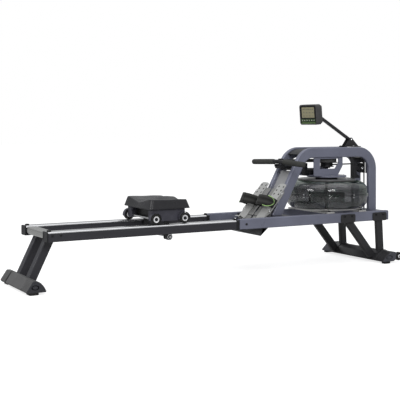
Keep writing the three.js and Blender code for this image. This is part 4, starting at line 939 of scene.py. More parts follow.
def head_leg():
    """The left leg: an upright and a leaning tube, and two bolt plates."""
    rail_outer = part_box("rail_cap_left")[1].y
    outer = rail_outer + GAP + LEG_PLATE
    tube_outer = outer - 0.01
    inner = tube_outer - HEAD_LEG_WIDTH
    beam_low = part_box("beam_left")[0].z
    top = beam_low - GAP
    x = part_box("beam_left")[1].x - UPRIGHT_INSET
    deep = PAD_HEIGHT + 0.014
    tail_side = x - 0.013
    head_side = tail_side + UPRIGHT_DEPTH
    foot = UPRIGHT_FOOT
    outline = [(tail_side + foot, deep), (head_side + foot, deep), (head_side, top), (tail_side, top)]
    upright = tube_leg(outline, inner, tube_outer, 0.006)
    width = DIAGONAL_DEPTH / math.cos(DIAGONAL_LEAN)
    outline = slanted(x - 0.214 - width / 2, top, deep, -DIAGONAL_LEAN, DIAGONAL_DEPTH)
    diagonal = tube_leg(outline, inner, tube_outer, 0.006)
    pieces = [upright, diagonal]
    bolts = []
    for middle in (x - PLATE_SPACING, x):
        start, end = middle - BOLT_PLATE / 2, middle + BOLT_PLATE / 2
        outline = rounded(start, end, top - 0.001, beam_low + 0.047, 0.01, 8)
        pieces.append(worked(plate(outline, "y", rail_outer + GAP, outer), 0.0012, 3, 50))
        for way in (-1, 1):
            bolts.append(screw((middle + way * 0.027, outer, beam_low + 0.0352), (0, 1, 0), 1.15))
    return joined(*pieces), joined(*bolts)


def saddle():
    """Sheet folded over the foot bar, with a lip at each end."""
    outline = foot_outline(HEAD_FOOT, "head_foot_cap_left")
    rail_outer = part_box("rail_cap_left")[1].y
    face = rail_outer + 0.0053
    outer = face + SADDLE_LIP
    inner = face - HEAD_LEG_WIDTH - SADDLE_LIP
    count = len(outline)
    centre = Vector((sum(a for a, _ in outline) / count, sum(b for _, b in outline) / count))
    reach = [Vector(p) for p in outline[1:6]]
    over = [p + (p - centre).normalized() * 0.0043 for p in reach]
    under = [p + (p - centre).normalized() * GAP for p in reach]
    points = [tuple(p) for p in over] + [tuple(p) for p in reversed(under)]
    return worked(plate(points, "y", inner, outer), 0.0007, 2, 50)


def head_legs():
    leg, bolts = head_leg()
    fold = saddle()
    sets = (("right", mirrored(leg), mirrored(bolts), mirrored(fold)), ("left", leg, bolts, fold))
    for name, tubes, heads, sheet in sets:
        keep(tubes, f"head leg {name}", BLACK_PAINT, "frame", "black_paint", f"head_leg_{name}")
        keep(heads, f"leg bolts {name}", BLACK_PLASTIC, "frame", "black_plastic")
        keep(sheet, f"foot saddle {name}", BLACK_PAINT, "frame", "black_paint")


# Base bracket and cross members


def base_bracket():
    start, half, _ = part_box("foot_base_bracket")[0]
    beam_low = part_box("beam_left")[0].z
    level = beam_low - GAP
    bottom = start + 0.177
    drop, fold = 0.046, 0.004
    cross_start, cross_end = TAIL + 1.2719, TAIL + 1.4399
    cross_low, cross_top = 0.251, 0.291
    rise = bottom + drop
    outline = [
        (start, level),
        (bottom, level - drop),
        (rise, level),
        (cross_start + 0.0025, cross_low + 0.0025),
        (cross_start + 0.0025, cross_low),
        (cross_start, cross_low - fold / 2),
        (rise + fold, level - fold * 2),
        (bottom, level - drop - fold),
        (start, level - fold),
    ]
    trough = worked(plate(outline, "y", -0.12, 0.12), 0.0009, 2, 20)
    flange = worked(block((start, half, level - fold), (start + 0.04, -half, level)), 0.0008, 2, 50)
    keep(joined(trough, flange), "folded base bracket", BLACK_PAINT, "frame", "black_paint")
    member = cross_member(cross_start, cross_end, cross_low, cross_top)
    keep(member, "front cross member", BLACK_PAINT, "frame", "black_paint", "foot_base_bracket")


def cross_member(start, end, low, top):
    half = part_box("head_cross_member")[1].y
    tube = plate(rounded(start, end, low, top, 0.003, 4), "y", -half, half)
    return worked(tube, 0.0006, 2, 50)


def head_cross():
    (x0, _, z0), (x1, _, z1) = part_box("head_cross_member")
    member = cross_member(x0, x1, z0, z1)
    keep(member, "head cross member", SLATE, "frame", "slate_paint", "head_cross_member")


# Hoops over the tank

HOOP_LEAN = math.radians(29)
HOOP_DEPTH = 0.058
HOOP_BEND = 0.101
HOOP_EDGE = 0.0065
HOOP_FRONT = TAIL + 1.3496
HOOP_SPACING = 0.14
HOOP_STEPS = 24


def hoop_front(z):
    """The front face of the slanted leg at a height."""
    return HOOP_FRONT + (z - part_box("hoop_left")[0].z) * math.tan(HOOP_LEAN)


def hoop_corners():
    """The middle line's corners in X and Z, from below the front foot to below the back foot."""
    (_, _, foot), (back, _, top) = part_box("hoop_left")
    half = HOOP_DEPTH / 2
    level = top - half
    deep = foot - HOOP_DEPTH

    def middle(z):
        return hoop_front(z) + half / math.cos(HOOP_LEAN)

    front = [(middle(deep), deep), (middle(level), level)]
    return [Vector(p) for p in (*front, (back - half, level), (back - half, deep))]


def bent(corners, radius, steps):
    """The middle line with round bends, as points with the way across it."""
    line = []
    for i, corner in enumerate(corners):
        if i in (0, len(corners) - 1):
            other = corners[1] if i == 0 else corners[-2]
            way = (other - corner if i == 0 else corner - other).normalized()
            line.append((corner, way))
            continue
        arriving = (corner - corners[i - 1]).normalized()
        leaving = (corners[i + 1] - corner).normalized()
        swing = arriving.angle(leaving)
        reach = radius * math.tan(swing / 2)
        centre = corner - arriving * reach + Vector((arriving.y, -arriving.x)) * radius
        for k in range(steps + 1):
            turn = Matrix.Rotation(-swing * k / steps, 2)
            way = turn @ arriving
            line.append((centre - Vector((way.y, -way.x)) * radius, way))
    return line


def hoop_stations(line, y):
    """Stations along the hoops' middle line, at a place across the machine."""
    return [
        (Vector((point.x, y, point.y)), Vector((way.y, 0, -way.x)), Vector((0, 1, 0)))
        for point, way in line
    ]


def hoop(name, side):
    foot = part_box("hoop_left")[0].z
    (_, inner, _), (_, outer, _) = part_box("hoop_left")
    across = side * (inner + outer) / 2
    section = rounded(-HOOP_DEPTH / 2, HOOP_DEPTH / 2, inner - abs(across), outer - abs(across), HOOP_EDGE, 5)
    tube = swept(hoop_stations(bent(hoop_corners(), HOOP_BEND, HOOP_STEPS), across), section)
    edit_all(tube)
    bpy.ops.mesh.bisect(plane_co=(0, 0, foot), plane_no=(0, 0, 1), use_fill=True, clear_inner=True)
    bpy.ops.object.mode_set(mode="OBJECT")
    smoothed(closed(tube), 40)
    keep(tube, f"hoop tube {name}", SLATE, "frame", "slate_paint", f"hoop_{name}")


def hoop_cover():
    """A dark sheet between the hoops, round their first bend and above the strap."""
    corner = bent(hoop_corners(), HOOP_BEND, HOOP_STEPS)[1 : HOOP_STEPS + 2]
    line = [(point, way) for point, way in corner if point.y > STRAP_LEVEL + 0.02]
    point, way = line[-1]
    line.append((point + way * 0.05, way))
    outside = -HOOP_DEPTH / 2 + 0.009
    section = rounded(outside, outside + 0.004, -0.0565, 0.0565, 0.001, 3)
    cover = smoothed(swept(hoop_stations(line, 0), section), 40)
    keep(cover, "hoop cover", BLACK_PLASTIC, "frame", "black_plastic")


def gusset(name, side):
    """The web between the slanted leg and the footboard."""
    low, high = 0.304, 0.4196
    outline = [
        (foot_plane(low, 0.0073), low),
        (hoop_front(low) + 0.002, low),
        (hoop_front(high) + 0.002, high),
        (foot_plane(high, 0.0073), high),
    ]
    middle = side * HOOP_SPACING / 2
    web = worked(plate(outline, "y", middle - 0.0025, middle + 0.0025), 0.0006, 2, 50)
    keep(web, f"hoop gusset {name}", BLACK_PAINT, "frame", "black_paint")


def centre_panel():
    (_, y0, z0), (_, y1, z1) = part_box("centre_panel")
    back = 0.02 / math.cos(HOOP_LEAN)
    depth = 0.003 / math.cos(HOOP_LEAN)

    def front(z):
        return hoop_front(z) + back

    outline = [(front(z0), z0), (front(z0) + depth, z0), (front(z1) + depth, z1), (front(z1), z1)]
    panel = worked(plate(outline, "y", y0, y1), 0.0007, 2, 50)
    keep(panel, "centre panel", PANEL_GREY, "frame", "plate_grey", "centre_panel")
    heads = [
        screw((front(z) - 0.0002, y, z), (-math.cos(HOOP_LEAN), 0, math.sin(HOOP_LEAN)), 0.6)
        for z in (z0 + 0.016, z1 - 0.016)
        for y in (y0 + 0.012, y1 - 0.012)
    ]
    keep(joined(*heads), "centre panel screws", STEEL, "frame", "silver")


# Tank

TANK_X = (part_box("tank_lower")[0].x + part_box("tank_lower")[1].x) / 2
TANK_RADIUS = 0.235
TANK_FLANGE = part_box("tank_lower")[1].y
TANK_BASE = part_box("tank_lower")[0].z
TANK_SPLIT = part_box("tank_upper")[0].z
TANK_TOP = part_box("tank_upper")[1].z
FLANGE = 0.006
WALL = 0.004
BASE_RADIUS = 0.165
NECK_RADIUS = 0.16


def waist(steps=24):
    """The shell's curve from its flat to its rim, in shares of its spread and rise."""
    turns = [math.pi / 2 * i / steps for i in range(steps + 1)]
    return [(math.sin(turn) ** 0.9, 1 - math.cos(turn) ** 1.1) for turn in turns]


def lower_line(steps=24):
    rise = TANK_SPLIT - TANK_BASE - FLANGE * 5
    return [(BASE_RADIUS + u * (TANK_RADIUS - BASE_RADIUS), TANK_BASE + v * rise) for u, v in waist(steps)]


def upper_line(steps=24):
    shoulder = TANK_SPLIT + 0.03
    rise = TANK_TOP - shoulder
    return [(NECK_RADIUS + u * (TANK_RADIUS - NECK_RADIUS), TANK_TOP - v * rise) for u, v in waist(steps)]


def tank_lower():
    outer = lower_line()
    inner = [(radius - WALL, height + WALL) for radius, height in outer]
    foot = TANK_SPLIT - FLANGE
    shell = turned(
        [
            (0, TANK_BASE),
            *outer,
            (TANK_RADIUS, foot),
            (TANK_FLANGE, foot),
            (TANK_FLANGE, TANK_SPLIT - GAP),
            (TANK_RADIUS - WALL, TANK_SPLIT - GAP),
            *reversed(inner),
            (0, TANK_BASE + WALL),
        ],
        (TANK_X, 0, 0),
        steps=144,
    )
    worked(shell, 0.0008, 2, 50)
    keep(shell, "tank lower shell", SMOKE_LOWER, "frame", "tank_clear", "tank_lower")


def tank_upper():
    outer = list(reversed(upper_line()))
    inner = [(radius - WALL, height - WALL) for radius, height in outer]
    shell = turned(
        [
            (TANK_RADIUS - WALL, TANK_SPLIT),
            (TANK_FLANGE, TANK_SPLIT),
            (TANK_FLANGE, TANK_SPLIT + FLANGE),
            (TANK_RADIUS, TANK_SPLIT + FLANGE),
            *outer,
            (NECK_RADIUS - WALL, TANK_TOP),
            *reversed(inner),
        ],
        (TANK_X, 0, 0),
        steps=144,
    )
    worked(shell, 0.0008, 2, 50)
    keep(shell, "tank upper shell", SMOKE_UPPER, "frame", "tank_clear", "tank_upper")


RIM_SCREWS = 10
FIRST_RIM_SCREW = math.radians(20)


def flange_screws():
    radius = (TANK_RADIUS + TANK_FLANGE) / 2
    heads = []
    for i in range(RIM_SCREWS):
        turn = FIRST_RIM_SCREW + ROUND * i / RIM_SCREWS
        x, y = TANK_X + radius * math.cos(turn), radius * math.sin(turn)
        for way in (-1, 1):
            heads.append(screw((x, y, TANK_SPLIT + way * FLANGE), (0, 0, way), 0.85))
    keep(joined(*heads), "tank rim screws", STEEL, "frame", "silver")


WATER_LEVEL = 0.43
WATER_GAP = 0.001


def tank_water():
    line = [(radius - WALL - WATER_GAP, height + WALL + WATER_GAP) for radius, height in lower_line(16)]
    edge = TANK_RADIUS - WALL - WATER_GAP
    body = turned(
        [(0, TANK_BASE + WALL + WATER_GAP), *line, (edge, WATER_LEVEL), (0, WATER_LEVEL)],
        (TANK_X, 0, 0),
        steps=96,
    )
    smoothed(body)
    keep(body, "water", WATER, "frame", "tank_clear")


def cradle():
    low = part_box("tank_cradle")[0].z
    beam_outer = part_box("rail_cap_left")[1].y
    line = [(radius, height - 0.0005) for radius, height in lower_line() if height < TANK_BASE + 0.012]
    thickness, hole = 0.003, 0.04
    base = TANK_BASE - GAP
    under = [(radius, height - thickness) for radius, height in line]
    profile = [(hole, base - thickness), *under, *reversed(line), (hole, base)]
    dish = turned(profile, (TANK_X, 0, 0), steps=144)
    worked(dish, 0.0006, 2, 40)
    straps = []
    bolts = []
    for way in (-1, 1):
        middle = TANK_X + way * 0.115
        strap = block((middle - 0.027, -beam_outer, low), (middle + 0.027, beam_outer, TANK_BASE - 0.0018))
        straps.append(worked(strap, 0.0012, 2, 50))
        for side in (-1, 1):
            bolts.append(screw((middle, side * (beam_outer - 0.015), TANK_BASE - 0.0018), (0, 0, 1), 1.1))
    keep(joined(dish, *straps), "tank cradle", CRADLE, "frame", "silver_paint", "tank_cradle")
    keep(joined(*bolts), "cradle bolts", BLACK_PLASTIC, "frame", "black_plastic")


def tank_lid():
    _, radius, collar_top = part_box("tank_lid")[1]
    low = TANK_TOP + GAP
    top = low + 0.009
    collar = 0.063
    lid = turned(
        [
            (0.0095, low - 0.007),
            (NECK_RADIUS - 0.005, low - 0.007),
            (NECK_RADIUS - 0.005, low),
            (radius, low),
            (radius, top - 0.004),
            *arc(radius - 0.004, top - 0.004, 0.004, 15, 90, 4),
            (radius - 0.022, top),
            (radius - 0.024, top - 0.0015),
            (radius - 0.034, top - 0.0015),
            (radius - 0.036, top),
            (collar + 0.004, top),
            (collar, top + 0.004),
            (collar, collar_top),
            (0.0095, collar_top),
        ],
        (TANK_X, 0, 0),
        steps=144,
    )
    worked(lid, 0.0007, 2, 30)
    keep(lid, "tank lid", LID_BLACK, "frame", "black_plastic", "tank_lid")


# Drive: hanging bracket, drum, strap guide and the runs of strap

HANGER = ((0, 0), (0.84, 0), (1, 0.52), (1, 1), (0, 1))
HANGER_WINDOW = ((0.21, 0.35), (0.735, 0.35), (0.85, 0.7), (0.85, 0.93), (0.21, 0.93))
STRAP_LEVEL = 0.587
SHEET = 0.005
BEARING_RADIUS = 0.115
BEARING_SCREWS = 8
BEARING_SCREW_RADIUS = 0.103


def hanging_bracket():
    start, end = TANK_X - 0.147, TANK_X + 0.062
    low, top = 0.504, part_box("drive_bracket")[1].z
    disc_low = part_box("drive_bracket")[0].z
    disc_top = disc_low + 0.009
    shape = scaled(HANGER, start, low, end - start, top - low)
    window = scaled(HANGER_WINDOW, start, low, end - start, top - low)
    pieces = []
    for side in (-1, 1):
        middle = side * HOOP_SPACING / 2
        cheek = plate(shape, "y", middle - SHEET / 2, middle + SHEET / 2)
        hole = plate(window, "y", middle - SHEET, middle + SHEET)
        eased(hole, 0.005, 4, 20)
        pieces.append(worked(cut(cheek, hole), 0.0007, 2, 50))
    half = 0.0725
    floor = block(
        (start + 0.004, -half, disc_top - 0.001),
        (start + 0.84 * (end - start), half, low + 0.001),
    )
    pieces.append(worked(floor, 0.0008, 2, 50))
    profile = [(0, disc_low), (BEARING_RADIUS, disc_low), (BEARING_RADIUS, disc_top), (0, disc_top)]
    disc = turned(profile, (TANK_X, 0, 0), steps=96)
    pieces.append(worked(disc, 0.0012, 3, 50))
    keep(joined(*pieces), "hanging bracket", SLATE, "frame", "slate_paint", "drive_bracket")
    heads = []
    for i in range(BEARING_SCREWS):
        turn = ROUND * (i + 0.5) / BEARING_SCREWS
        x = TANK_X + BEARING_SCREW_RADIUS * math.cos(turn)
        y = BEARING_SCREW_RADIUS * math.sin(turn)
        heads.append(screw((x, y, disc_top), (0, 0, 1), 0.7))
    keep(joined(*heads), "bearing plate screws", STEEL, "frame", "silver")


WOUND_RADIUS = 0.0575
WOUND_TURNS = 8
STRAP_HALF = 0.00125


def drive_drum():
    (_, _, low), (_, rim, top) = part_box("drive_drum")
    hub, cord, strap = 0.022, 0.036, 0.046
    profile = [
        (0.0093, low),
        (hub, low),
        (hub, low + 0.007),
        (0.043, low + 0.007),
        (0.043, low + 0.011),
        (cord, low + 0.011),
        (cord, low + 0.031),
        (rim, low + 0.031),
        (rim, low + 0.035),
        (strap, low + 0.035),
        (strap, low + 0.057),
        (rim, low + 0.057),
        (rim, top),
        (rim - 0.012, top),
        (rim - 0.015, top - 0.0015),
        (0.02, top - 0.0015),
        (0.018, top),
        (0.0093, top),
    ]
    drum = worked(turned(profile, (TANK_X, 0, 0), steps=96), 0.0006, 2, 40)
    keep(drum, "drive drum", BLACK_PLASTIC, "rotor", "black_plastic", "drive_drum")
    wound = [(strap, low + 0.0355)]
    for i in range(WOUND_TURNS):
        radius = strap + (WOUND_RADIUS - strap) * (i + 1) / WOUND_TURNS
        wound += [(radius - 0.0002, low + 0.0365), (radius, low + 0.0372)]
    wound += [(WOUND_RADIUS, low + 0.0555), (strap, low + 0.0565)]
    reel = worked(turned(wound, (TANK_X, 0, 0), steps=96), 0.0002, 1, 50)
    keep(reel, "strap wound on the drum", STRAP_X, "rotor", "webbing")


def strap_guide():
    """A post with a ribbed foot between the hoops, and two pins that steer the strap."""
    start, _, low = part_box("strap_guide")[0]
    post, half, depth, foot = start + 0.006, 0.014, 0.02, 0.035
    top = STRAP_LEVEL - 0.014
    pieces = [worked(block((post, -half, low), (post + depth, half, top)), 0.002, 3, 50)]
    heel = block((start + 0.018, -0.02, low + 0.004), (start + 0.082, 0.02, low + foot))
    pieces.append(worked(heel, 0.002, 3, 50))
    ribs = 6
    for i in range(ribs):
        z = low + (top - low) * (i + 0.7) / (ribs + 0.4)
        rib = block((post - 0.0015, -half - 0.0006, z), (post + depth + 0.0012, half + 0.0006, z + 0.004))
        pieces.append(worked(rib, 0.0012, 2, 50))
    for side in (-1, 1):
        inner, outer = span(side, half, 0.03)
        ledge = block((start + 0.024, inner, 0.5093), (start + 0.082, outer, 0.53))
        pieces.append(worked(ledge, 0.002, 3, 50))
    keep(joined(*pieces), "strap guide", BLACK_PLASTIC, "frame", "black_plastic", "strap_guide")
    middle = start + 0.014
    away = 0.00665
    pins = [
        rod((middle, side * away, top - 0.004), (middle, side * away, STRAP_LEVEL + 0.012), 0.005)
        for side in (-1, 1)
    ]
    keep(joined(*pins), "guide pins", STEEL, "frame", "silver")


def strap_lead():
    """The run from the guide to the drum, flat against the drum at a tangent."""
    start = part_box("strap_lead")[0].x
    reach = WOUND_RADIUS + GAP + STRAP_HALF
    distance = TANK_X - start
    turn = math.asin(reach / distance)
    length = distance * math.cos(turn)
    run = worked(block((0, -STRAP_HALF, -0.01), (length, STRAP_HALF, 0.01)), 0.0006, 2, 50)
    moved(run, Matrix.Translation((start, 0, STRAP_LEVEL)) @ Matrix.Rotation(-turn, 4, "Z"))
    keep(run, "strap to the drum", STRAP_X, "frame", "webbing", "strap_lead")


def pull_strap():
    """The run from the handle to the guide, which lengthens as the handle is drawn."""
    (x0, y0, z0), (x1, y1, z1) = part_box("pull_strap")
    steps = 60
    section = rounded(y0, y1, z0, z1, 0.0006, 3)
    stations = [
        (Vector((x0 + (x1 - x0) * i / steps, 0, 0)), Vector((0, 1, 0)), Vector((0, 0, 1)))
        for i in range(steps + 1)
    ]
    run = smoothed(swept(stations, section))
    run.name = run.data.name = "pull_strap_run"
    run.data.materials.clear()
    run.data.materials.append(STRAP_X)
    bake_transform(run)
    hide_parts("pull_strap")


RETURN_CHEEK = (
    (0, 0),
    (0.42, 0),
    (0.42, 0.09),
    (0.21, 0.2),
    (0.21, 0.38),
    (0.62, 0.38),
    (0.7, 0.43),
    (0.7, 0.51),
    (0.62, 0.56),
    (0.21, 0.56),
    (0.21, 0.74),
    (0.84, 0.74),
    (0.84, 0.22),
    (1, 0.22),
    (1, 0.88),
    (0.9, 1),
    (0, 1),
)
CHEEK_SPACING = 0.027


def return_bracket():
    (x0, half, z0), (x1, _, z1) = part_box("return_bracket")
    half = abs(half)
    thickness = 0.004
    shape = scaled(RETURN_CHEEK, x0, z0, x1 - x0, z1 - z0)
    pieces = []
    for side in (-1, 1):
        a, b = span(side, CHEEK_SPACING / 2 - thickness / 2, CHEEK_SPACING / 2 + thickness / 2)
        pieces.append(worked(plate(shape, "y", a, b), 0.0008, 2, 50))
    width = x1 - x0
    edge = CHEEK_SPACING / 2
    sheets = (
        ((x0, -half, z1 - thickness), (x1 - 0.08 * width, half, z1)),
        ((x0, -edge, z0), (x0 + 0.42 * width, edge, z0 + thickness)),
        ((x0, -edge, z0 + thickness), (x0 + thickness, edge, z1 - thickness)),
    )
    pieces += [worked(block(low, high), 0.0008, 2, 50) for low, high in sheets]
    keep(joined(*pieces), "return bracket", BLACK_PAINT, "frame", "black_paint", "return_bracket")
    pulley_x, pulley_z = pulley_centre()
    outside = edge + thickness / 2
    pin = rod((pulley_x, -outside - 0.0015, pulley_z), (pulley_x, outside + 0.0015, pulley_z), 0.006)
    heads = [screw((pulley_x, side * outside, pulley_z), (0, side, 0), 1.3) for side in (-1, 1)]
    keep(joined(pin, *heads), "return pulley pin", STEEL, "frame", "silver")


def pulley_centre():
    (x0, _, z0), (x1, _, z1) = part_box("return_pulley")
    return (x0 + x1) / 2, (z0 + z1) / 2


def return_pulley():
    x, z = pulley_centre()
    rim, groove, half = 0.028, 0.023, 0.007
    profile = [
        (0.0064, -half),
        (0.01, -half),
        (0.012, -half + 0.0015),
        (0.022, -half + 0.0015),
        (0.024, -half),
        (rim, -half),
        (rim, -half + 0.001),
        *[(groove + 0.005 * abs(t) ** 3, 0.0055 * t) for t in (-1, -0.8, -0.5, 0, 0.5, 0.8, 1)],
        (rim, half - 0.001),
        (rim, half),
        (0.024, half),
        (0.022, half - 0.0015),
        (0.012, half - 0.0015),
        (0.01, half),
        (0.0064, half),
    ]
    wheel = worked(turned(profile, (x, 0, z), "y", 80), 0.0003, 2, 40)
    keep(wheel, "return pulley", BLACK_PLASTIC, "return_pulley", "black_plastic", "return_pulley")


CORD_RADIUS = 0.004
CORD_LEVEL = 0.562


def return_cord():
    """The elastic from the drum's lower groove, over the pulley and down to the cross member."""
    x, z = pulley_centre()
    ride = 0.023 + 0.0006 + CORD_RADIUS
    reach = 0.036 + GAP + CORD_RADIUS
    turn = math.asin(reach / (x - TANK_X))
    leaving = Vector((TANK_X + reach * math.sin(turn), -reach * math.cos(turn), CORD_LEVEL))
    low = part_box("return_cord")[0].z
    route = [leaving + (Vector((x, 0, CORD_LEVEL)) - leaving) * i / 24 for i in range(25)]
    route += [Vector((a, 0, b)) for a, b in arc(x, z, ride, 90, 0, 16)[1:]]
    route += [Vector((x + ride, 0, z + (low - z) * i / 24)) for i in range(1, 25)]
    section = arc(0, 0, CORD_RADIUS, 0, 337.5, 15)
    cord = smoothed(swept(along(route, Vector((0, 1, 0))), section), 60)
    keep(cord, "return cord", CORD, "frame", "rubber", "return_cord")


# Handle and its rest

HANDLE = Vector((TAIL + 1.455, 0, 0.585))
HANDLE_HALF = 0.25
HANDLE_SWEEP = 0.014
HANDLE_DROOP = 0.009
GRIP_RADIUS = 0.0155
GRIP_INSET = 0.045


def handle_point(share):
    """The bar's middle line, from the middle at 0 to an end at 1 or -1."""
    reach = abs(share)
    return HANDLE + Vector((-HANDLE_SWEEP * reach, HANDLE_HALF * share, -HANDLE_DROOP * reach))


def handle_piece(start, end, radius, steps, dome):
    """A length of the bar with domed ends."""
    stops = [start + (end - start) * i / steps for i in range(steps + 1)]
    rings = [(stop, 1.0) for stop in stops]
    way = (handle_point(end) - handle_point(start)).normalized()
    across = way.cross(Vector((0, 0, 1))).normalized()
    up = across.cross(way)
    reach = dome / HANDLE_HALF
    for turn in (15, 30, 45, 60, 75, 88):
        size, push = math.cos(math.radians(turn)), math.sin(math.radians(turn))
        rings.insert(0, (start + reach * (1 - push), size))
        rings.append((end - reach * (1 - push), size))
    ordered = sorted(rings, key=lambda ring: ring[0])
    inside = [start + reach <= stop <= end - reach for stop, _ in ordered]
    ordered = [ring for ring, within in zip(ordered, inside) if within or ring[1] != 1.0]
    section = arc(0, 0, radius, 0, 352.5, 47)

    def place(row, column):
        stop, size = ordered[row]
        a, b = section[column % 48]
        return handle_point(stop) + (across * a + up * b) * size

    return smoothed(formed(len(ordered) - 1, 48, place), 60)


def handle():
    half = 1 + 0.001 / HANDLE_HALF
    core = joined(handle_piece(-0.98, 0.0, 0.012, 8, 0.002), handle_piece(0.0, 0.98, 0.012, 8, 0.002))
    low, high = STRAP_LEVEL - 0.015, STRAP_LEVEL + 0.015
    clip = plate(rounded(HANDLE.x - 0.006, HANDLE.x + 0.022, low, high, 0.006), "y", -0.008, 0.008)
    worked(clip, 0.0015, 3, 50)
    keep(joined(core, clip), "handle bar", BLACK_PLASTIC, "handle", "handle_metal", "handle_bar")
    inset = GRIP_INSET / HANDLE_HALF
    for name, start, end in (("left", inset, half), ("right", -half, -inset)):
        grip = handle_piece(start, end, GRIP_RADIUS, 24, 0.009)
        keep(grip, f"foam grip {name}", FOAM, "handle", "foam", f"handle_grip_{name}")


def handle_rest():
    (_, y0, z0), (x1, y1, z1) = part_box("handle_rest")
    shelf_top = 0.56
    start = x1 - 0.084
    shelf = plate(rounded(start, x1, z0 + 0.01, shelf_top, 0.005, 5), "y", -0.03, 0.03)
    worked(shelf, 0.002, 3, 50)
    ears = worked(block((x1 - 0.028, y0, z0), (x1, y1, shelf_top)), 0.0015, 3, 50)
    tail_side, head_side = HANDLE.x - 0.017, HANDLE.x + 0.017
    foot = shelf_top - 0.004
    outline = [(tail_side, foot), (head_side, foot), (head_side, z1), (tail_side, z1)]
    prongs = []
    for side in (-1, 1):
        middle = side * 0.024
        prongs.append(worked(plate(outline, "y", middle - 0.004, middle + 0.004), 0.0015, 3, 50))
    keep(joined(shelf, ears, *prongs), "handle rest", BLACK_PLASTIC, "frame", "black_plastic", "handle_rest")


# Footboards, sliding heel plates and foot straps

FOOT_LEAN = math.radians(41)
FOOT_ORIGIN = Vector((TAIL + 1.268, 0, 0.283))
FOOT_TOP = 0.205
UP_PLATE = Vector((math.sin(FOOT_LEAN), 0, math.cos(FOOT_LEAN)))
OFF_PLATE = Vector((-math.cos(FOOT_LEAN), 0, math.sin(FOOT_LEAN)))


def foot_plane(z, behind):
    """X on the footboard's plane, or a depth behind it, at a height."""
    return FOOT_ORIGIN.x + (z - FOOT_ORIGIN.z) * math.tan(FOOT_LEAN) + behind / math.cos(FOOT_LEAN)


def on_plate(shape):
    """A shape made flat, X up the plate and Z off it, put on the leaning plane."""
    turn = Matrix((UP_PLATE, Vector((0, 1, 0)), OFF_PLATE)).transposed().to_4x4()
    return moved(shape, Matrix.Translation(FOOT_ORIGIN) @ turn)


STRAP_PLACE = 0.099
STRAP_WIDTH = 0.055
STRAP_INNER = 0.02
STRAP_OUTER = 0.129
STRAP_RISE = 0.067
STRAP_DROOP = 0.024
STRAP_TILT = 0.33
STRAP_BULGE = 0.014
STRAP_FULLNESS = 0.86


def footboard():
    inner, outer, low, chamfer, taper = 0.009, 0.138, -0.032, 0.024, 0.04
    outline = [
        (low, inner),
        (FOOT_TOP, inner),
        (FOOT_TOP, outer - chamfer),
        (FOOT_TOP - chamfer, outer),
        (taper, outer),
        (low, outer - taper),
    ]
    board = eased(plate(outline, "z", -0.007, 0), 0.004, 3, 20)
    low, top = STRAP_PLACE - 0.027, STRAP_PLACE + 0.027
    slots = [
        plate(rounded(low, top, y - 0.0025, y + 0.0025, 0.0015, 3), "z", -0.02, 0.02)
        for y in (STRAP_INNER, STRAP_OUTER)
    ]
    return on_plate(worked(cut(board, *slots), 0.0006, 2, 50))


SLIDER_TOP = 0.236
SLIDER_LOW = -0.024
SLIDER_INNER = 0.05
SLIDER_OUTER = 0.122
HOLE_RADIUS = 0.0062
HOLE_PITCH = 0.026


def hole_places():
    middle = (SLIDER_INNER + SLIDER_OUTER) / 2
    first = SLIDER_TOP - 0.02
    return [(first - row * HOLE_PITCH, middle + side * 0.021) for row in range(3) for side in (-1, 1)]


def slider():
    base, top = 0.0003, 0.0043
    body = plate(rounded(SLIDER_LOW, SLIDER_TOP, SLIDER_INNER, SLIDER_OUTER, 0.018, 8), "z", base, top)
    cut(body, *(plate(arc(x, y, HOLE_RADIUS, 0, 345, 23), "z", -0.01, 0.02) for x, y in hole_places()))
    heel = plate(
        [
            (SLIDER_LOW, base),
            (SLIDER_LOW + 0.004, base),
            (SLIDER_LOW + 0.004, base + 0.024),
            (SLIDER_LOW - 0.006, base + 0.034),
            (SLIDER_LOW - 0.01, base + 0.034),
            (SLIDER_LOW, base + 0.024),
        ],
        "y",
        SLIDER_INNER + 0.014,
        SLIDER_OUTER - 0.014,
    )
    eased(heel, 0.003, 4, 60)
    return on_plate(joined(worked(body, 0.0007, 2, 50), worked(heel, 0.0005, 2, 50)))


def hole_liners():
    """Dark bushes in the slider's holes."""
    bushes = [
        plate(arc(x, y, HOLE_RADIUS - 0.0002, 0, 345, 23), "z", 0.0006, 0.0034) for x, y in hole_places()
    ]
    return on_plate(joined(*bushes))


def strap_line(share, across, lift=0.0):
    """A place on the drooping arch over the foot: up the plate, sideways, and off it."""
    middle = (STRAP_INNER + STRAP_OUTER) / 2
    half = (STRAP_OUTER - STRAP_INNER) / 2
    turn = math.pi * (1 - share)
    side, height = math.cos(turn), math.sin(turn)
    full_side = math.copysign(abs(side) ** STRAP_FULLNESS, side)
    full_height = max(height, 0) ** STRAP_FULLNESS
    bulge = STRAP_BULGE * max(0, math.sin(2 * turn)) * (1 if share > 0.5 else 0)
    crown = 0.003 * height * (1 - (2 * across / STRAP_WIDTH) ** 2)
    return Vector((
        STRAP_PLACE + across - STRAP_DROOP * height,
        middle + half * full_side + bulge + lift * side,
        STRAP_RISE * full_height + STRAP_TILT * across * height + crown + lift * height,
    ))


def foot_strap():
    """Webbing over the foot, with rounded selvedges and its ends through the slots."""
    steps = 72
    section = rounded(-STRAP_WIDTH / 2, STRAP_WIDTH / 2, -0.0016, 0.0016, 0.0013, 3)
    deep = -0.0098

    def place(row, column):
        across, lift = section[column % len(section)]
        if row in (0, steps + 2):
            end = strap_line(0 if row == 0 else 1, across, lift)
            return Vector((end.x, end.y, deep))
        share = (1 - math.cos(math.pi * (row - 1) / steps)) / 2
        return strap_line(share, across, lift)

    return on_plate(smoothed(formed(steps + 2, len(section), place), 60))


FLAP_START, FLAP_TURN, FLAP_END = 0.5, 0.74, 0.95


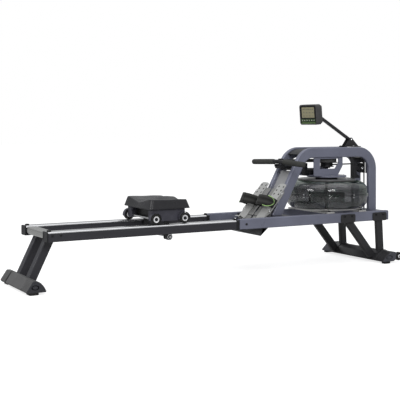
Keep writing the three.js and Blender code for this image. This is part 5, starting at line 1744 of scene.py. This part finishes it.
def strap_flap():
    """The folded end of the webbing on the outer half of the strap, with a round end."""
    steps = 36
    section = rounded(-STRAP_WIDTH / 2, STRAP_WIDTH / 2, -0.0009, 0.0009, 0.0007, 3)

    def place(row, column):
        share = FLAP_START + (FLAP_END - FLAP_START) * row / steps
        past = max(0.0, share - FLAP_TURN) / (FLAP_END - FLAP_TURN)
        across, lift = section[column % len(section)]
        return strap_line(share, across * max(0.06, 1 - past * past) ** 0.5, lift + 0.0029)

    return on_plate(smoothed(formed(steps, len(section), place), 60))


def strap_edging():
    """A bound edge round the folded end."""
    turns = [math.radians(-112 + 4 * i) for i in range(53)]
    reach = FLAP_END - FLAP_TURN + 0.006
    half = STRAP_WIDTH / 2 + 0.0012
    path = [
        strap_line(FLAP_TURN + reach * math.cos(turn), half * math.sin(turn), 0.0032)
        for turn in turns
    ]
    section = arc(0, 0, 0.0024, 0, 330, 11)
    return on_plate(smoothed(swept(along(path, Vector((0, 0, 1))), section), 60))


def foot_rests():
    shapes = [footboard(), slider(), hole_liners(), joined(foot_strap(), strap_flap()), strap_edging()]
    screws = [
        screw(FOOT_ORIGIN + UP_PLATE * up + Vector((0, 0.13, 0)), OFF_PLATE, 0.9)
        for up in (FOOT_TOP - 0.032, 0.049)
    ]
    shapes.append(joined(*screws))
    right = [mirrored(shape) for shape in shapes]
    for name, (board, heel, liners, loop, trim, heads) in (("left", shapes), ("right", right)):
        carrier = f"foot_slider_{name}"
        keep(board, f"footboard plate {name}", PLATE_GREY, "frame", "plate_grey", f"footboard_{name}")
        keep(heel, f"heel slider {name}", SLIDER_GREY, carrier, "plate_grey", carrier)
        keep(liners, f"slider bushes {name}", GLOSS_BLACK, carrier, "black_plastic")
        keep(loop, f"foot webbing {name}", WEBBING, "frame", "webbing", f"foot_strap_{name}")
        keep(trim, f"foot webbing edging {name}", EDGING, "frame", "webbing")
        keep(heads, f"footboard screws {name}", STEEL, "frame", "silver")


# Monitor, its arm and bracket

ARM_PIVOT = Vector((TAIL + 1.96, 0, 0.706))
MONITOR_PIVOT = Vector((TAIL + 1.722, 0, 0.85))
MONITOR_TILT = math.radians(4.5)
MONITOR_FRONT = -0.067
MONITOR_BACK = -0.021
MONITOR_LOW = -0.0515
MONITOR_HIGH = 0.0655
MONITOR_HALF = 0.082


def on_monitor(shape):
    """A shape made upright, X towards the head and Z up the face, put on the tilted frame."""
    return moved(shape, Matrix.Translation(MONITOR_PIVOT) @ Matrix.Rotation(-MONITOR_TILT, 4, "Y"))


def monitor_bracket():
    (x0, _, z0), (x1, _, _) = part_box("monitor_bracket")
    base_top = z0 + 0.004
    base = plate(rounded(x0 + 0.018, x1 - 0.018, -0.068, 0.068, 0.006), "z", z0, base_top)
    worked(base, 0.0006, 2, 50)
    ear = arc(ARM_PIVOT.x, ARM_PIVOT.z, 0.012, 150, 20, 14)
    shape = [(x0, z0), (x0, base_top), *ear, (x1, base_top), (x1, z0)]
    cheeks = []
    for side in (-1, 1):
        a, b = span(side, 0.0144, 0.0184)
        cheeks.append(worked(plate(shape, "y", a, b), 0.0007, 2, 50))
    keep(joined(base, *cheeks), "monitor bracket", BLACK_PAINT, "frame", "black_paint", "monitor_bracket")
    pin = rod(ARM_PIVOT - Vector((0, 0.018, 0)), ARM_PIVOT + Vector((0, 0.018, 0)), 0.005)
    heads = [screw(ARM_PIVOT + Vector((0, side * 0.0184, 0)), (0, side, 0)) for side in (-1, 1)]
    corners = [
        screw((x, y, base_top), (0, 0, 1), 0.8)
        for x in (x0 + 0.028, x1 - 0.028)
        for y in (-0.06, 0.06)
    ]
    keep(joined(pin, *heads, *corners), "bracket screws", STEEL, "frame", "silver")


def monitor_arm():
    half, radius = 0.0105, 0.0078
    way = MONITOR_PIVOT - ARM_PIVOT
    slope = math.degrees(math.atan2(way.z, way.x))
    outline = [
        *arc(ARM_PIVOT.x, ARM_PIVOT.z, radius, slope - 270, slope - 90, 12),
        *arc(MONITOR_PIVOT.x, MONITOR_PIVOT.z, radius, slope - 90, slope + 90, 12),
    ]
    arm = worked(plate(outline, "y", -half, half), 0.0035, 4, 50)
    keep(arm, "monitor arm tube", BLACK_PAINT, "monitor_arm", "black_paint", "monitor_arm")


PANEL_HALF = 0.0755
PANEL_LOW = -0.0445
PANEL_HIGH = 0.0585


def monitor_case():
    face = rounded(-MONITOR_HALF, MONITOR_HALF, MONITOR_LOW, MONITOR_HIGH, 0.014, 8)
    shell = plate(face, "x", MONITOR_FRONT, -0.033)
    eased(shell, 0.003, 4, 50)
    back = rounded(-0.078, 0.078, MONITOR_LOW + 0.0065, MONITOR_HIGH - 0.0065, 0.011, 8)
    rear = plate(back, "x", -0.045, MONITOR_BACK)
    eased(rear, 0.005, 4, 50)
    opening = rounded(-PANEL_HALF - GAP, PANEL_HALF + GAP, PANEL_LOW - GAP, PANEL_HIGH + GAP, 0.0098, 6)
    recess = plate(opening, "x", MONITOR_FRONT - 0.01, MONITOR_FRONT + 0.0025)
    pieces = [smoothed(cut(shell, recess)), smoothed(rear)]
    lug = [(MONITOR_BACK - 0.004, -0.0135), *arc(0, 0, 0.009, -60, 60, 12), (MONITOR_BACK - 0.004, 0.0135)]
    for side in (-1, 1):
        a, b = span(side, 0.016, 0.021)
        pieces.append(worked(plate(lug, "y", a, b), 0.0008, 2, 50))
    pieces.append(rod((0, -0.024, 0), (0, 0.024, 0), 0.005))
    case = on_monitor(joined(*pieces))
    keep(case, "monitor shell", MONITOR_SHELL, "monitor", "monitor_shell", "monitor_case")


def monitor_face():
    front = MONITOR_FRONT + 0.0002
    outline = rounded(-PANEL_HALF, PANEL_HALF, PANEL_LOW, PANEL_HIGH, 0.0095, 6)
    panel = plate(outline, "x", front, MONITOR_FRONT + 0.0022)
    window = rounded(-0.06, 0.06, -0.0105, 0.0505, 0.003, 4)
    hole = plate(window, "x", front - 0.01, front + 0.0012)
    worked(cut(panel, hole), 0.0003, 2, 50)
    glass = plate(rounded(-0.0598, 0.0598, -0.0103, 0.0503, 0.003, 4), "x", front + 0.0006, front + 0.0013)
    worked(glass, 0.0002, 2, 50)
    strip = plate(rounded(-0.07, 0.07, -0.0375, -0.0165, 0.005, 5), "x", front - 0.0004, front + 0.0004)
    worked(strip, 0.0003, 2, 50)
    keys = []
    for i in range(6):
        y = -0.055 + i * 0.022
        key = plate(rounded(y - 0.0035, y + 0.0035, -0.0285, -0.0225, 0.0025, 5), "x", front - 0.0012, front)
        keys.append(worked(key, 0.0004, 2, 50))
    bar = plate(rounded(-0.066, 0.066, -0.0422, -0.0398, 0.0009, 3), "x", front - 0.0004, front + 0.0002)
    worked(bar, 0.0002, 2, 50)
    digits = []
    for row, z in enumerate((0.038, 0.019, 0.0)):
        for column in range(4 if row else 6):
            y = -0.044 + column * (0.028 if row else 0.0176)
            outline = rounded(y - 0.006, y + 0.006, z - 0.0022, z + 0.0022, 0.0008, 2)
            digits.append(plate(outline, "x", front + 0.0004, front + 0.0008))
    parts = (
        (panel, "monitor bezel", GLOSS_BLACK, ("monitor_panel",)),
        (glass, "monitor display", LCD, ()),
        (strip, "monitor key strip", STRIP_GREEN, ()),
        (joined(*keys), "monitor keys", PALE_MARK, ()),
        (bar, "monitor trim line", EDGING, ()),
        (joined(*digits), "display bars", DISPLAY_INK, ()),
    )
    for shape, name, look, nodes in parts:
        keep(on_monitor(shape), name, look, "monitor", "monitor_face", *nodes)


# Seat

SEAT = Vector((TAIL + 0.668, 0, 0.289))
PAD_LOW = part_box("seat_pad")[0].z
PAD_DEPTH = 0.211
PAD_HALF = 0.149
PAD_SHIFT = 0.0035
PAD_FLARE = 0.012
PAD_CORNER = 0.13
PAD_LEVEL = 0.0505


def bump(value, centre, width):
    return math.exp(-(((value - centre) / width) ** 2))


def pad_top(u, v):
    """Height of the pad over its base, u from its tail edge at -1 to its head edge at 1, v across it."""
    sides = 0.0028 * bump(u, 0.0, 0.5) + 0.0045 * bump(u, 1.0, 0.5)
    seat_bones = 0.0115 * bump(u, -0.15, 0.45) * bump(abs(v), 0.42, 0.26)
    thighs = 0.0125 * bump(u, 0.9, 0.6) * bump(abs(v), 0.5, 0.24)
    ridge = 0.006 * bump(u, 0.5, 0.7) * bump(v, 0, 0.2)
    notch = 0.024 * bump(u, -1.0, 0.36) * max(0.0, 1 - (v * v + 0.006) ** 0.5 / 0.78)
    return PAD_LEVEL + ridge - sides - seat_bones - thighs - notch


# The edge from the top round to the base: shares of the outline, of the height and of the flare
PAD_EDGE_SHARES = (
    (0.94, 1.0, 0),
    (0.96, 0.992, 0),
    (0.976, 0.972, 0),
    (0.988, 0.935, 0.01),
    (0.994, 0.885, 0.04),
    (0.996, 0.81, 0.12),
    (0.997, 0.66, 0.28),
    (0.999, 0.5, 0.46),
    (1.0, 0.32, 0.66),
    (1.0, 0.16, 0.86),
    (1.0, 0.05, 1.0),
    (0.998, 0.01, 1.0),
    (0.985, 0.0, 0.9),
)


def pad_ring():
    """Points round a square of half side 1 with round corners."""
    corners = rounded(-1, 1, -1, 1, PAD_CORNER, 10)
    ring = []
    for i, corner in enumerate(corners):
        start, end = Vector(corner), Vector(corners[(i + 1) % len(corners)])
        steps = max(1, round((end - start).length / 0.045))
        ring += [start.lerp(end, step / steps) for step in range(steps)]
    return ring


def seat_pad():
    ring = pad_ring()
    inner = 34
    rings = [(0.94 * (i / inner) ** 0.9, 1.0, 0) for i in range(inner)]
    rings += PAD_EDGE_SHARES
    rings += [(0.985 * (1 - i / 6), 0.0, 0.9) for i in range(1, 7)]

    def place(row, column):
        share, level, flare = rings[row]
        u, v = ring[column % len(ring)] * share
        x = u * PAD_DEPTH / 2 + u * flare * PAD_FLARE + PAD_SHIFT
        y = v * PAD_HALF + v * flare * PAD_FLARE
        return SEAT + Vector((x, y, PAD_LOW - SEAT.z + level * pad_top(u, v)))

    pad = smoothed(formed(len(rings) - 1, len(ring), place), 60)
    keep(pad, "contoured seat pad", SEAT_TOP, "seat", "seat_skin", "seat_pad")


WHEEL_BASE = 0.165
WHEEL_RADIUS = 0.027
WHEEL_WIDTH = 0.026
RAIL_Y = 0.1565
WHEEL_Z = SEAT.z + WHEEL_RADIUS + GAP
WHEEL_PIN_END = 0.1729
SKIRT = 0.1431
AXLE_BOX = 0.0985
GUARD_RADIUS = 0.0325
GUARD_THICKNESS = 0.0022


def axle_box(way, side, half, low, top):
    """The box behind a wheel, at a corner of the carriage."""
    x0, x1 = sorted((SEAT.x + way * half, SEAT.x + way * (half - 0.044)))
    y0, y1 = span(side, AXLE_BOX, SKIRT - 0.0035)
    return worked(block((x0, y0, low + 0.002), (x1, y1, top - 0.004)), 0.004, 3, 50)


def mudguard(way, side):
    """A thin arch over a wheel."""
    x = SEAT.x + way * WHEEL_BASE / 2
    outside = arc(x, WHEEL_Z, GUARD_RADIUS, -12, 192, 28)
    inside = arc(x, WHEEL_Z, GUARD_RADIUS - GUARD_THICKNESS, 192, -12, 28)
    a, b = span(side, SKIRT - 0.001, 0.1665)
    return worked(plate(outside + inside, "y", a, b), 0.0006, 2, 50)


def seat_carriage():
    """The pan under the pad with its skirts, boxes and guards, and the axles, arms and pins on it."""
    half = 0.095
    top = PAD_LOW - GAP
    low = SEAT.z + 0.014
    pan = plate(rounded(-half, half, -SKIRT, SKIRT, 0.012, 6), "z", top - 0.005, top)
    moved(pan, Matrix.Translation((SEAT.x, 0, 0)))
    pieces = [worked(pan, 0.001, 2, 50)]
    for side in (-1, 1):
        a, b = span(side, SKIRT - 0.004, SKIRT)
        outline = [
            (SEAT.x - half, top - 0.001),
            (SEAT.x - half, low + 0.016),
            (SEAT.x - half + 0.018, low),
            (SEAT.x + half - 0.018, low),
            (SEAT.x + half, low + 0.016),
            (SEAT.x + half, top - 0.001),
        ]
        skirt = plate(outline, "y", a, b)
        eased(skirt, 0.006, 4, 30)
        pieces.append(worked(skirt, 0.0006, 2, 50))
    for way in (-1, 1):
        for side in (-1, 1):
            pieces.append(axle_box(way, side, half, low, top))
            pieces.append(mudguard(way, side))
    keep(joined(*pieces), "seat carriage", SHELL_BLUE, "seat", "carriage_paint", "seat_carriage")
    ends = []
    for way in (-1, 1):
        a, b = sorted((SEAT.x + way * (half - 0.03), SEAT.x + way * (half - 0.034)))
        end = plate(rounded(-AXLE_BOX, AXLE_BOX, low + 0.009, top - 0.004, 0.008, 5), "x", a, b)
        ends.append(worked(end, 0.0008, 2, 50))
    keep(joined(*ends), "carriage end plates", GLOSS_BLACK, "seat", "black_paint")
    wheel_places = [SEAT.x + way * WHEEL_BASE / 2 for way in (-1, 1)]
    axles = [rod((x, -SKIRT, WHEEL_Z), (x, SKIRT, WHEEL_Z), 0.005) for x in wheel_places]
    keep(joined(*axles), "wheel axles", STEEL, "seat", "silver")
    arms = []
    for side in (-1, 1):
        a, b = span(side, 0.1135, 0.1195)
        arm = plate(rounded(SEAT.x - 0.015, SEAT.x + 0.015, 0.2077, top - 0.002, 0.0075, 6), "y", a, b)
        arms.append(worked(arm, 0.0008, 2, 50))
    keep(joined(*arms), "roller arms", BLACK_PAINT, "seat", "black_paint")
    pins = []
    for side in (-1, 1):
        for x in wheel_places:
            pins.append(rod((x, side * (SKIRT - 0.005), WHEEL_Z), (x, side * WHEEL_PIN_END, WHEEL_Z), 0.007))
            face = side * 0.1699
            pins.append(rod((x, face, WHEEL_Z), (x, side * 0.1721, WHEEL_Z), 0.0078))
    keep(joined(*pins), "wheel pins", BLACK_PLASTIC, "seat", "black_plastic")


def seat_wheel(name, x, y):
    """A tyre on a white hub with a dark bearing."""
    half, radius = WHEEL_WIDTH / 2, WHEEL_RADIUS
    rim, well, groove = 0.016, 0.0088, 0.0205
    tyre = turned(
        [
            (rim, -half + 0.0012),
            (groove - 0.0008, -half + 0.0004),
            (groove, -half + 0.0014),
            (groove + 0.0008, -half + 0.0002),
            (radius - 0.004, -half),
            *arc(radius - 0.004, -half + 0.004, 0.004, 285, 360, 5),
            *arc(radius - 0.004, half - 0.004, 0.004, 0, 75, 5),
            (radius - 0.004, half),
            (groove + 0.0008, half - 0.0002),
            (groove, half - 0.0014),
            (groove - 0.0008, half - 0.0004),
            (rim, half - 0.0012),
        ],
        (x, y, WHEEL_Z),
        "y",
        80,
    )
    hub = turned(
        [
            (well, -half + 0.003),
            (rim - 0.001, -half + 0.0008),
            (rim + 0.0002, -half + 0.0018),
            (rim + 0.0002, half - 0.0018),
            (rim - 0.001, half - 0.0008),
            (well, half - 0.003),
        ],
        (x, y, WHEEL_Z),
        "y",
        80,
    )
    bore, seat, face = 0.0074, well + 0.0002, half - 0.0035
    ring = [(bore, -face), (seat, -face), (seat, face), (bore, face)]
    bearing = turned(ring, (x, y, WHEEL_Z), "y", 64)
    keep(smoothed(tyre), f"{name} tyre", RUBBER, name, "rubber", name)
    keep(worked(hub, 0.0004, 2, 40), f"{name} hub", WHITE_HUB, name, "rubber")
    keep(worked(bearing, 0.0004, 2, 40), f"{name} bearing", BLACK_PLASTIC, name, "rubber")


def under_rollers():
    (x0, y0, z0), (x1, y1, z1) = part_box("under_roller_axle")
    x, z = (x0 + x1) / 2, (z0 + z1) / 2
    axle = rod((x, y0, z), (x, y1, z), 0.005)
    keep(axle, "roller axle", STEEL, "under_rollers", "silver", "under_roller_axle")
    rollers, rings = [], []
    for side in (-1, 1):
        a, b = span(side, 0.1275, 0.1555)
        bore, shoulder, radius = 0.006, 0.015, 0.017
        middle = [(radius, a + 0.002), (radius, b - 0.002)]
        profile = [(bore, a), (shoulder, a), *middle, (shoulder, b), (bore, b)]
        rollers.append(worked(turned(profile, (x, 0, z), "y", 64), 0.0006, 2, 30))
        face = b if side > 0 else a
        low, high = face - 0.0008, face + 0.0008
        profile = [(0.0105, low), (0.0138, low), (0.0138, high), (0.0105, high)]
        rings.append(worked(turned(profile, (x, 0, z), "y", 48), 0.0003, 2, 30))
    keep(joined(*rollers), "under rollers", BLACK_PLASTIC, "under_rollers", "black_plastic")
    keep(joined(*rings), "roller rings", STEEL, "under_rollers", "silver")


# Everything in its place


def build():
    for name, side in SIDES:
        rail(name, side)
        rail_cap(name, side)
        tail_bumper(name)
        rail_joint(name, side)
        beam(name, side)
        hoop(name, side)
        gusset(name, side)
    tail_cross_tube()
    tail_feet()
    tail_legs()
    head_feet()
    head_legs()
    base_bracket()
    head_cross()
    centre_panel()
    hoop_cover()
    cradle()
    tank_lower()
    tank_upper()
    flange_screws()
    tank_water()
    tank_lid()
    hanging_bracket()
    drive_drum()
    strap_guide()
    strap_lead()
    pull_strap()
    return_bracket()
    return_pulley()
    return_cord()
    handle()
    handle_rest()
    foot_rests()
    monitor_bracket()
    monitor_arm()
    monitor_case()
    monitor_face()
    seat_pad()
    seat_carriage()
    for name, side in SIDES:
        seat_wheel(f"seat_wheel_tail_{name}", SEAT.x - WHEEL_BASE / 2, side * RAIL_Y)
        seat_wheel(f"seat_wheel_head_{name}", SEAT.x + WHEEL_BASE / 2, side * RAIL_Y)
    under_rollers()
    bpy.data.objects.remove(SCREW)
    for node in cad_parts.values():
        if not node.hide_render:
            node.data.materials.clear()
            node.data.materials.append(BLACK_PLASTIC)


build()

# Camera, light and floor


def camera():
    data = bpy.data.cameras.new("eye")
    data.sensor_width = 36
    data.lens = 80.46
    data.shift_y = -0.188
    data.clip_end = 100
    eye = bpy.data.objects.new("eye", data)
    eye.location = (-2.46893, -4.1801, 0.7936)
    eye.rotation_euler = (math.radians(90), 0, math.radians(-29.83))
    bpy.context.collection.objects.link(eye)
    bpy.context.scene.camera = eye


def area_light(name, place, aim, size, power):
    data = bpy.data.lights.new(name, "AREA")
    data.shape = "RECTANGLE"
    data.size, data.size_y = size
    data.energy = power
    lamp = bpy.data.objects.new(name, data)
    lamp.location = place
    lamp.rotation_euler = (Vector(aim) - Vector(place)).to_track_quat("-Z", "Y").to_euler()
    bpy.context.collection.objects.link(lamp)


FILL_LOW = 0.34
FILL_HIGH = 0.78
OVERHEAD_POWER = 66
TAIL_POWER = 70
NEAR_POWER = 135
FLOOR_GLOW = 0.74


def studio():
    """White to the camera; to everything else a soft light that is brighter overhead."""
    world = bpy.data.worlds.new("studio")
    world.use_nodes = True
    nodes, links = world.node_tree.nodes, world.node_tree.links
    backdrop = nodes["Background"]
    backdrop.inputs["Color"].default_value = (1, 1, 1, 1)
    fill = nodes.new("ShaderNodeBackground")
    fill.inputs["Color"].default_value = (0.97, 0.985, 1, 1)
    where = nodes.new("ShaderNodeTexCoord")
    height = nodes.new("ShaderNodeSeparateXYZ")
    rising = nodes.new("ShaderNodeMapRange")
    rising.inputs["From Min"].default_value = 0.0
    rising.inputs["From Max"].default_value = 0.7
    rising.inputs["To Min"].default_value = FILL_LOW
    rising.inputs["To Max"].default_value = FILL_HIGH
    links.new(where.outputs["Generated"], height.inputs[0])
    links.new(height.outputs["Z"], rising.inputs["Value"])
    links.new(rising.outputs["Result"], fill.inputs["Strength"])
    seen = nodes.new("ShaderNodeLightPath")
    either = nodes.new("ShaderNodeMixShader")
    links.new(seen.outputs["Is Camera Ray"], either.inputs[0])
    links.new(fill.outputs[0], either.inputs[1])
    links.new(backdrop.outputs[0], either.inputs[2])
    links.new(either.outputs[0], nodes["World Output"].inputs["Surface"])
    bpy.context.scene.world = world
    area_light("softbox overhead", (0, 0.2, 4.6), (0, 0, 0), (7, 5), OVERHEAD_POWER)
    area_light("softbox tail", (-4.6, -0.3, 2.6), (0, 0, 0.4), (1.9, 1.4), TAIL_POWER)
    area_light("softbox near", (-1.4, -5.2, 2.9), (0.4, 0, 0.3), (2.2, 1.4), NEAR_POWER)
    bpy.context.scene.view_settings.view_transform = "Standard"


def floor():
    """A pale floor that the camera sees nearly white, with soft shadows."""
    deselect()
    bpy.ops.mesh.primitive_plane_add(size=60)
    ground = bpy.context.object
    ground.name = "pale_floor"
    look = Look("pale floor")
    shade = look.ranged(look.noise(3, 4), 0, 1)
    look.colour(look.mixed(shade, (0.42, 0.42, 0.42), (0.44, 0.44, 0.44)))
    look.rough(look.ranged(look.noise(12, 3), 0.75, 0.85))
    seen = look.nodes.new("ShaderNodeLightPath")
    glow = look.ranged(seen.outputs["Is Camera Ray"], 0, FLOOR_GLOW, 0, 1)
    look.shader.inputs["Emission Color"].default_value = (1, 1, 1, 1)
    look.link(glow, look.shader.inputs["Emission Strength"])
    ground.data.materials.append(look.material)


camera()
studio()
floor()
